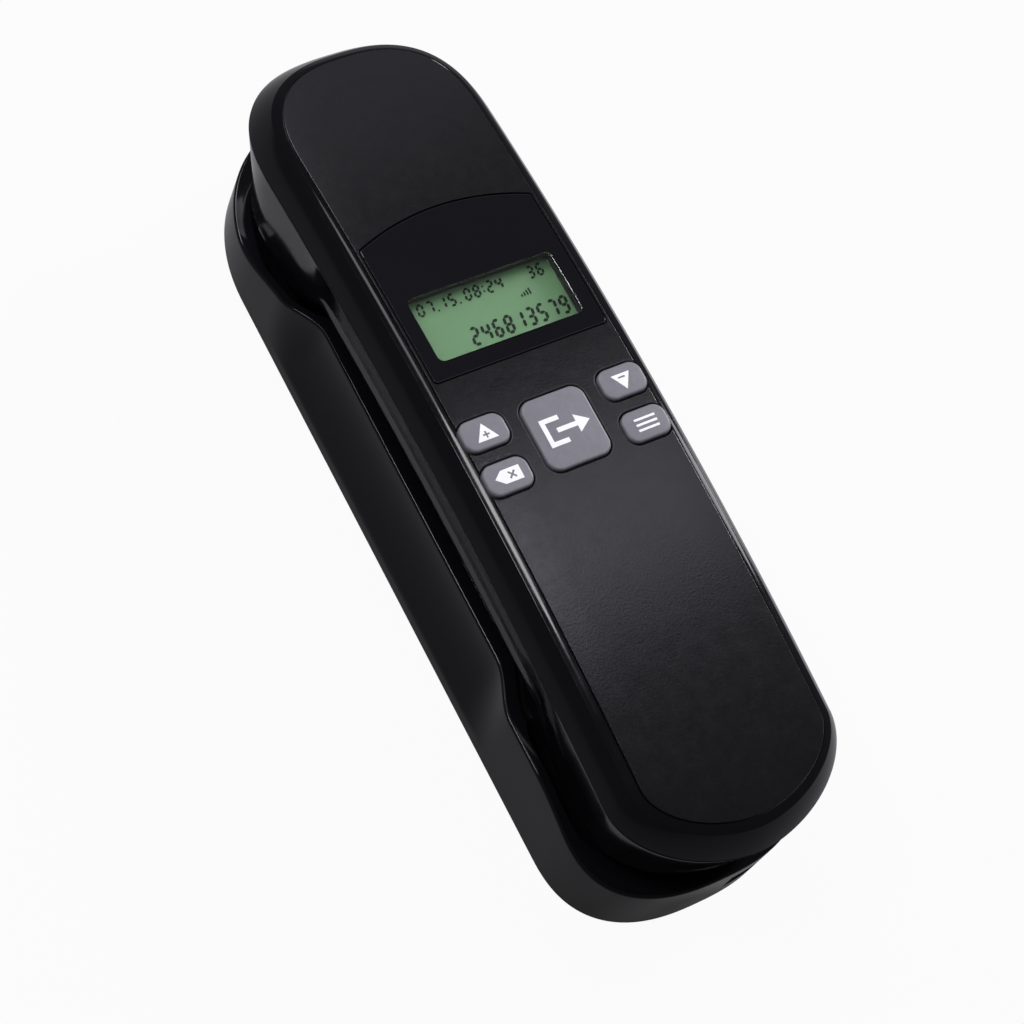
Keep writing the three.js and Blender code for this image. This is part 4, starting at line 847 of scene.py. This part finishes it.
def back_icon(name, x, y, surface):
    if name == "up_key":
        plus = [(-0.2, -1.45), (0.2, -1.45), (0.2, -0.85), (0.8, -0.85), (0.8, -0.45), (0.2, -0.45),
                (0.2, 0.15), (-0.2, 0.15), (-0.2, -0.45), (-0.8, -0.45), (-0.8, -0.85), (-0.2, -0.85)]
        obj = shape_object([[(-2.5, -1.9), (2.5, -1.9), (0, 2.05)]], [plus])
    elif name == "down_key":
        obj = shape_object([[(-2.3, 1.6), (0, -2.25), (2.3, 1.6)]], [box_points(0, 0.75, 0.85, 0.2)])
    elif name == "menu_key":
        obj = shape_object([box_points(0, 1.25 * k, 2.6, 0.27) for k in (-1, 0, 1)])
    elif name == "delete_key":
        cross = [(0, 0.3), (0.62, 0.92), (0.92, 0.62), (0.3, 0), (0.92, -0.62), (0.62, -0.92), (0, -0.3),
                 (-0.62, -0.92), (-0.92, -0.62), (-0.3, 0), (-0.92, 0.62), (-0.62, 0.92)]
        tab = [(-3.2, 0), (-1.3, -1.6), (3.1, -1.6), (3.1, 1.6), (-1.3, 1.6)]
        obj = shape_object([tab], [[(0.9 + u, v) for u, v in cross]])
    else:
        door = [(-0.6, 2.9), (-4.6, 2.9), (-4.6, -2.9), (-0.6, -2.9), (-0.6, -1.95), (-3.65, -1.95),
                (-3.65, 1.95), (-0.6, 1.95)]
        arrow = [(-2.0, -0.48), (2.2, -0.48), (2.2, -1.9), (5.0, 0), (2.2, 1.9), (2.2, 0.48), (-2.0, 0.48)]
        obj = shape_object([[(1.15 * u, 1.15 * v) for u, v in shape] for shape in (door, arrow)])
    printed(name + "_mark", obj, x, y, surface, name, INK)


def centre_shape(bm):
    bmesh.ops.remove_doubles(bm, verts=bm.verts, dist=1e-4)
    mid_x = (min(v.co.x for v in bm.verts) + max(v.co.x for v in bm.verts)) / 2
    mid_y = (min(v.co.y for v in bm.verts) + max(v.co.y for v in bm.verts)) / 2
    bmesh.ops.translate(bm, verts=bm.verts, vec=(-mid_x, -mid_y, 0))


def number_shape(text, size):
    """A plain figure as a flat closed solid."""
    curve = bpy.data.curves.new("figure", "FONT")
    curve.body, curve.size, curve.extrude = text, size, 1.0
    curve.align_x, curve.align_y = "CENTER", "CENTER"
    curve.resolution_u = 4
    holder = linked_object("figure", curve)
    bpy.context.view_layer.update()
    mesh = bpy.data.meshes.new_from_object(holder)
    bpy.data.objects.remove(holder)
    bpy.data.curves.remove(curve)
    rework(mesh, centre_shape)
    mesh.materials.clear()
    return linked_object("figure", mesh)


def pad_icon(name, x, y, surface):
    end = name.split("_")[1]
    if end.isdigit():
        obj = number_shape(end, 4.6)
    elif end == "star":
        obj = shape_object([star_points(6, 1.5, 0.55)])
    elif end == "hash":
        stroke, upper, lower = 0.36, 0.55, -0.55
        bars = [bar_points((u - 0.25, -1.5), (u + 0.25, 1.5), stroke) for u in (-0.6, 0.6)]
        ties = [(-1.4, -0.75, upper), (-0.31, 0.43, upper), (0.92, 1.5, upper),
                (-1.5, -0.93, lower), (-0.47, 0.26, lower), (0.74, 1.4, lower)]
        obj = shape_object(bars + [bar_points((u0, v), (u1, v), stroke) for u0, u1, v in ties])
    elif name == "redial_key":
        tip = [(-1.75, -0.4), (-0.35, -0.75), (-1.55, -1.75)]
        obj = shape_object([ring_points(0, 0, 1.35, -60, 225, 0.42), tip])
    else:
        obj = shape_object([[(0.7, 1.7), (-1.3, -0.3), (-0.15, -0.3), (-0.7, -1.7), (1.3, 0.3), (0.15, 0.3)]])
    printed(name + "_mark", obj, x, y, surface, name, INK, down=True)


# Display: green film behind a dark bezel, with dark segments on the film
SEGMENTS = "abcdef bc abged abgcd fgbc afgcd afgedc abc abcdefg abfgcd".split()


def figure_points(digit, cx, row):
    """Outlines of a figure's strokes, each pointed at both ends, leaning by SLANT."""
    stroke, height, gap = row["stroke"], row["high"] - row["low"], 0.07
    w, h = row["width"] / 2 - stroke / 2, height / 2 - stroke / 2
    mid = row["low"] + height / 2
    ends = {
        "a": ((-w, h), (w, h)), "g": ((-w, 0), (w, 0)), "d": ((-w, -h), (w, -h)),
        "f": ((-w, 0), (-w, h)), "b": ((w, 0), (w, h)), "e": ((-w, -h), (-w, 0)), "c": ((w, -h), (w, 0)),
    }
    shapes = []
    for part in SEGMENTS[int(digit)]:
        a, b = np.array(ends[part][0]), np.array(ends[part][1])
        u = (b - a) / np.linalg.norm(b - a)
        n = np.array([-u[1], u[0]]) * stroke / 2
        a, b = a + u * gap, b - u * gap
        tip = stroke / 2
        loop = [a, a + u * tip - n, b - u * tip - n, b, b - u * tip + n, a + u * tip + n]
        shapes.append([(cx + p[0] + SLANT * p[1], mid + p[1]) for p in loop])
    return shapes


def display_marks():
    """Two rows of figures, the dots between some of them and a small row of growing bars."""
    shapes = []
    for digit, cx in zip("0715082436", (-16.0, -13.5, -10.3, -7.8, -3.7, -1.3, 2.2, 4.6, 13.1, 15.5)):
        shapes += figure_points(digit, cx, TOP_ROW)
    for k, digit in enumerate("246813579"):
        shapes += figure_points(digit, 16.5 - 2.95 * (8 - k), BIG_ROW)
    for x, y in ((-11.9, 29.15), (-6.2, 29.15), (0.4, 29.9), (0.5, 31.1)):
        shapes.append(box_points(x, y, 0.2, 0.22))
    for k in range(4):
        shapes.append(box_points(8.2 + 0.75 * k, 26.0 + 0.16 * k, 0.2, 0.3 + 0.16 * k))
    return [[(0.95 * u + 0.8, v) for u, v in shape] for shape in shapes]


def make_display():
    glass = box_half(VIEW["y"], GLASS["half_x"], GLASS["half_y"], GLASS["corner"])(0)
    film = on_board(GLASS["film"])
    plate = slab("Display_Film", glass, on_board(GLASS["low"]), film)
    place(plate, "handset", [LCD], ["lcd_panel"])
    bezel = slab("Display_Bezel", glass, film, on_board(GLASS["top"]))
    hole = box_half(VIEW["y"], VIEW["half_x"] + 0.3, VIEW["half_y"] + 0.3, VIEW["corner"])
    cut(bezel, [slab("hole", hole(0), 50.0, 56.0)])
    place(bezel, "handset", [INNER])
    printed("Display_Figures", shape_object(display_marks()), 0, 0, film, "handset", SEGMENT,
            proud=0.05, sink=0.1, grid=50)


# Base
def base_levels():
    wall, span, rise, brim = POCKET["wall"], POCKET["span"], POCKET["rise"], POCKET["brim"]
    levels = []
    add = lambda inset, z, kind=0: levels.append((body_half(BASE, inset), z, kind))
    ceiling = lambda y: floor_z(y) - POCKET["thick"]
    for t in np.linspace(0, 1, 6):
        add(wall, between(ceiling, lambda y: COVER_LOW, t), 1)
    for falls, rises in arc(4):
        add(BASE_EDGE * falls, COVER_LOW + BASE_EDGE * rises)
    for t in np.linspace(0, 1, 27)[1:]:
        add(0, between(lambda y: COVER_LOW + BASE_EDGE, lambda y: rim(y) - RIM["edge"], t))
    for falls, rises in arc(8)[1:]:
        add(RIM["edge"] * rises, lambda x, y, d=RIM["edge"] * falls: rim(y) - d)

    def turn(y, share=1.0, lower=brim):
        """A share of the angle from the pocket's floor up to where the rim cuts its round side off."""
        return share * np.arccos(np.clip(1 - (rim(y) - lower - floor_z(y)) / rise, 0, 1))

    def turn_inset(y, share=1.0, lower=brim):
        return wall + span * (1 - np.sin(turn(y, share, lower)))

    def turn_z(y, share=1.0):
        return floor_z(y) + rise * (1 - np.cos(turn(y, share)))

    # The rim's inner edge is rounded off in small steps, then the pocket turns down to its floor
    brim_inset = lambda y: turn_inset(y, lower=0.0)
    add(lambda y: brim_inset(y) - 0.3, lambda x, y: rim(y))
    add(lambda y: brim_inset(y) - 0.06, lambda x, y: rim(y) - 0.07)
    add(lambda y: turn_inset(y) * 0.6 + brim_inset(y) * 0.4 + 0.02, lambda x, y: rim(y) - 0.19)
    for t in np.linspace(0, 1, 5)[:-1]:
        add(turn_inset, between(lambda y: rim(y) - brim, turn_z, t))
    for share in np.linspace(1, 0, 15):
        add(lambda y, s=share: turn_inset(y, s), lambda x, y, s=share: turn_z(y, s))
    return levels


def make_base():
    shell = add_looks(loft("Base_Upper", base_levels(), draw_in=scoop), [GLOSS, INNER])
    hole_low = float(floor_z(np.array(float(PLUNGER["y"])))) - 3.5
    cut(shell, [disc(0, PLUNGER["y"], PLUNGER["radius"] + 0.35, hole_low, 30)], 1)
    for name in ("base_mouth", "line_mouth", "ringer_slot"):
        cut(shell, [opening(name)], 1)
    place(shell, "base", [GLOSS, INNER], ["base_top_shell"])


def make_cover():
    levels = []
    for falls, rises in arc(3):
        levels.append((body_half(BASE, COVER_INSET + BASE_EDGE * falls), COVER_LOW + BASE_EDGE * rises, 0))
    levels.append((body_half(BASE, COVER_INSET), COVER_TOP, 0))
    plate = add_looks(loft("Base_Cover", levels), [COVER])
    cut(plate, [disc(x, y, SCREW["head"], 0.2, 5.0) for x, y in SCREWS])
    cut(plate, [disc(x, y, FOOT["radius"] + 0.15, 0.2, FOOT["height"] + 0.05) for x, y in FEET])
    cut(plate, [box_object("slot", 4.4 * k - 0.8, 4.4 * k + 0.8, 69.5, 82.5, 0, 5) for k in range(-2, 3)])
    place(plate, "base", [COVER], ["base_bottom_cover"])
    shaft, head, boss = SCREW["shaft"], SCREW["head"], SCREW["boss"]
    well = [(shaft, 4.0), (head, 4.0), (head, 3.5), (boss, 3.5), (boss, 5.8), (shaft, 5.8)]
    rings = [raw_object("ring", *turned(well, x, y, HOLE_SIDES, closed=True)) for x, y in SCREWS]
    for ring in rings:
        rework(ring.data, face_outward)
    place(join_meshes("Screw_Wells", rings), "base", [COVER])


def make_feet():
    radius, height = FOOT["radius"], FOOT["height"]
    profile = rounded([(0, 0), (radius, 0), (radius, height), (0, height)], {1: FOOT["edge"]})
    for i, (x, y) in enumerate(FEET):
        foot = raw_object(f"Foot_{i + 1}", *turned(profile, x, y))
        place(foot, "base", [RUBBER], [f"foot_{i + 1}"])


def make_plunger():
    radius, flange, low, head = PLUNGER["radius"], PLUNGER["flange"], PLUNGER["low"], PLUNGER["head"]
    step = low + PLUNGER["thick"]
    corners = [(0, low), (flange, low), (flange, step), (radius, step), (radius, head), (0, head)]
    profile = rounded(corners, {1: 0.2, 2: 0.2, 4: 0.7})
    stem = raw_object("Hook_Plunger", *turned(profile, 0, PLUNGER["y"]))
    place(stem, "plunger", [PLASTIC], ["hook_plunger"])


def wire_object(x, path, radius=0.2, sides=10):
    """A round wire along a path of (y, z) at one place across."""
    verts, faces = [], []
    for i, (py, pz) in enumerate(path):
        a = np.array(path[max(0, i - 1)], float)
        b = np.array(path[min(len(path) - 1, i + 1)], float)
        u = (b - a) / np.linalg.norm(b - a)
        for k in range(sides):
            t = 2 * math.pi * k / sides
            out = radius * math.sin(t)
            verts.append((x + radius * math.cos(t), py - out * u[1], pz + out * u[0]))
    last = (len(path) - 1) * sides
    for here in range(0, last, sides):
        for k in range(sides):
            n = (k + 1) % sides
            faces.append((here + k, here + n, here + sides + n, here + sides + k))
    faces.append(tuple(range(sides - 1, -1, -1)))
    faces.append(tuple(range(last, last + sides)))
    return raw_object("wire", verts, faces)


def contact_wires(name, body, front, low, depth, turn=0.0):
    """Four springy contact wires in the mouth of a socket, sloping back and down from its roof."""
    path = [(depth - 0.6, 6.3), (depth - 1.6, 6.1), (depth * 0.45, 4.2), (depth * 0.22, 2.6),
            (depth * 0.16, 2.0), (depth * 0.2, 1.4), (depth * 0.3, 1.1)]
    obj = join_meshes(name, [wire_object(-1.53 + 1.02 * k, path) for k in range(4)])
    if turn:
        obj.data.transform(Matrix.Rotation(turn, 4, "Z"))
    obj.data.transform(Matrix.Translation(Vector((*front, low))))
    rework(obj.data, face_outward)
    place(obj, body, [STEEL])


def make_contacts():
    contact_wires("Handset_Socket_Wires", "handset", (0, -97.9), 26.8, 10.6)
    contact_wires("Base_Socket_Wires", "base", (8, -96.9), 7.65, 10.6)
    contact_wires("Line_Socket_Wires", "base", (26.3, -64), 7.65, 11.4, QUARTER)


for make in (make_back, make_front, make_lens, make_display, make_back_keys, make_pad_keys, make_base,
             make_cover, make_feet, make_plunger, make_contacts):
    make()

# Frame nodes that stay in view keep their solids and get their own materials
LOOKS = dict(
    gloss_black=GLOSS, matte_black=COVER, lens_black=LENS_EDGE, film_black=FOIL, lcd_glass=LCD,
    key_grey=KEY, key_black=PAD_KEY, board_green=BOARD, black_rubber=RUBBER, silicone_grey=SILICONE,
    steel=STEEL, dark_grey=PLASTIC, socket_black=SOCKET,
)
slots = {s["node"]: s["material_slot"] for s in frame["record"]["subparts"]}
for node, obj in frame["nodes"].items():
    obj.data.materials.clear()
    obj.data.materials.append(LOOKS[slots[node]])


# Camera at the photograph's viewing angle
def make_camera():
    focal, frame_px, sensor = 2818.375, 1024, 36
    az, el, roll = math.radians(-56.814), math.radians(61.209), math.radians(31.912)
    target, distance = np.array([-7.143, -10.769, 28.25]), 614.13
    back = np.array([math.sin(az) * math.cos(el), -math.cos(az) * math.cos(el), math.sin(el)])
    right = np.array([math.cos(az), math.sin(az), 0])
    down = np.cross(-back, right)
    across = math.cos(roll) * right - math.sin(roll) * down
    downward = math.sin(roll) * right + math.cos(roll) * down
    spot = target + back * distance
    data = bpy.data.cameras.new("camera")
    data.sensor_width = sensor
    data.lens = focal * sensor / frame_px
    data.clip_start, data.clip_end = 0.01, 20
    cam = linked_object("camera", data)
    columns = ((*across, 0), (*-downward, 0), (*back, 0), (*(spot * MM), 1))
    cam.matrix_world = Matrix(columns).transposed()
    bpy.context.scene.camera = cam


# Studio: each lamp is given by the direction it shines from, its size and how bright it looks
LAMP_REACH, LAMP_AIM = 1.5, (0, -0.01, 0.03)
PALE, COOL = (0.965, 0.955, 1.0), (0.88, 0.87, 1.0)


def soft_box(name, direction, size_x, size_y, glow, shape="RECTANGLE", tint=PALE):
    """A lamp whose size_x lies across the telephone and whose size_y lies along it."""
    data = bpy.data.lights.new(name, "AREA")
    data.shape, data.size, data.size_y = shape, size_x, size_y
    data.color = tint
    data.energy = glow * math.pi * size_x * size_y * (math.pi / 4 if shape == "ELLIPSE" else 1)
    obj = linked_object(name, data)
    away = Vector(direction).normalized()
    obj.location = Vector(LAMP_AIM) + away * LAMP_REACH
    along = (Vector((0, 1, 0)) - away * away.y).normalized()
    obj.rotation_euler = Matrix((along.cross(away), along, away)).transposed().to_euler()


def math_node(tree, operation, *parts):
    node = tree.nodes.new("ShaderNodeMath")
    node.operation = operation
    feed(tree, node, dict(enumerate(parts)))
    return node.outputs[0]


def seen_share(tree, direct, mirrored):
    """How much of its white a backdrop shows: direct to the camera, mirrored in gloss and through glass."""
    path = add_node(tree, "LightPath")
    either = math_node(tree, "MAXIMUM", path["Is Glossy Ray"], path["Is Transmission Ray"])
    faint = math_node(tree, "MULTIPLY", either, mirrored)
    return math_node(tree, "MULTIPLY_ADD", path["Is Camera Ray"], direct, faint)


def white_floor():
    """A pale floor, nearly white to the eye, that keeps a faint shadow and is clear from below."""
    mat = material("pale_floor", (0.36, 0.36, 0.37), 0.85, vary=0.01, vary_scale=3)
    tree = mat.node_tree
    shader = tree.nodes["Principled BSDF"].outputs[0]
    glow = add_node(tree, "Emission", {"Color": (1, 1, 1, 1), "Strength": 1})[0]
    seen = mixed_shader(tree, seen_share(tree, 0.95, 0.075), shader, glow)
    clear = add_node(tree, "BsdfTransparent")[0]
    below = add_node(tree, "NewGeometry")["Backfacing"]
    feed(tree, tree.nodes["Material Output"], {"Surface": mixed_shader(tree, below, seen, clear)})
    return mat


def make_studio():
    world = bpy.data.worlds.new("studio")
    bpy.context.scene.world = world
    world.use_nodes = True
    tree = world.node_tree
    strength = math_node(tree, "ADD", seen_share(tree, 0.84, 0.06), 0.09)
    feed(tree, tree.nodes["Background"], {"Color": (1, 1, 1, 1), "Strength": strength})
    bpy.ops.mesh.primitive_plane_add(size=6, location=(0, 0, 0))
    floor = bpy.context.object
    floor.name = "studio_floor"
    floor.data.materials.append(white_floor())
    soft_box("left_box", (-0.465, 0.225, 0.855), 0.23, 0.4, 30.0, "ELLIPSE")
    soft_box("left_far_box", (-0.41, 0.46, 0.78), 0.15, 0.42, 9.0, "ELLIPSE")
    soft_box("overhead_box", (0.39, 0.2, 0.9), 0.66, 0.3, 1.8, tint=COOL)
    soft_box("overhead_side_box", (0.3, 0.17, 0.94), 0.26, 0.26, 2.2, "ELLIPSE", COOL)
    soft_box("ear_box", (0.38, 0.69, 0.61), 0.8, 0.45, 0.42, tint=COOL)
    soft_box("back_box", (-0.05, 0.66, 0.75), 0.5, 0.36, 14.0)
    soft_box("key_box", (0.82, 0.23, 0.52), 0.3, 0.28, 50.0)
    soft_box("right_low_box", (0.955, 0.19, 0.165), 0.34, 0.23, 9.0, "ELLIPSE")
    soft_box("right_front_box", (0.81, -0.19, 0.56), 0.12, 0.1, 24.0)


make_camera()
make_studio()

scene = bpy.context.scene
scene.view_settings.view_transform = "Standard"
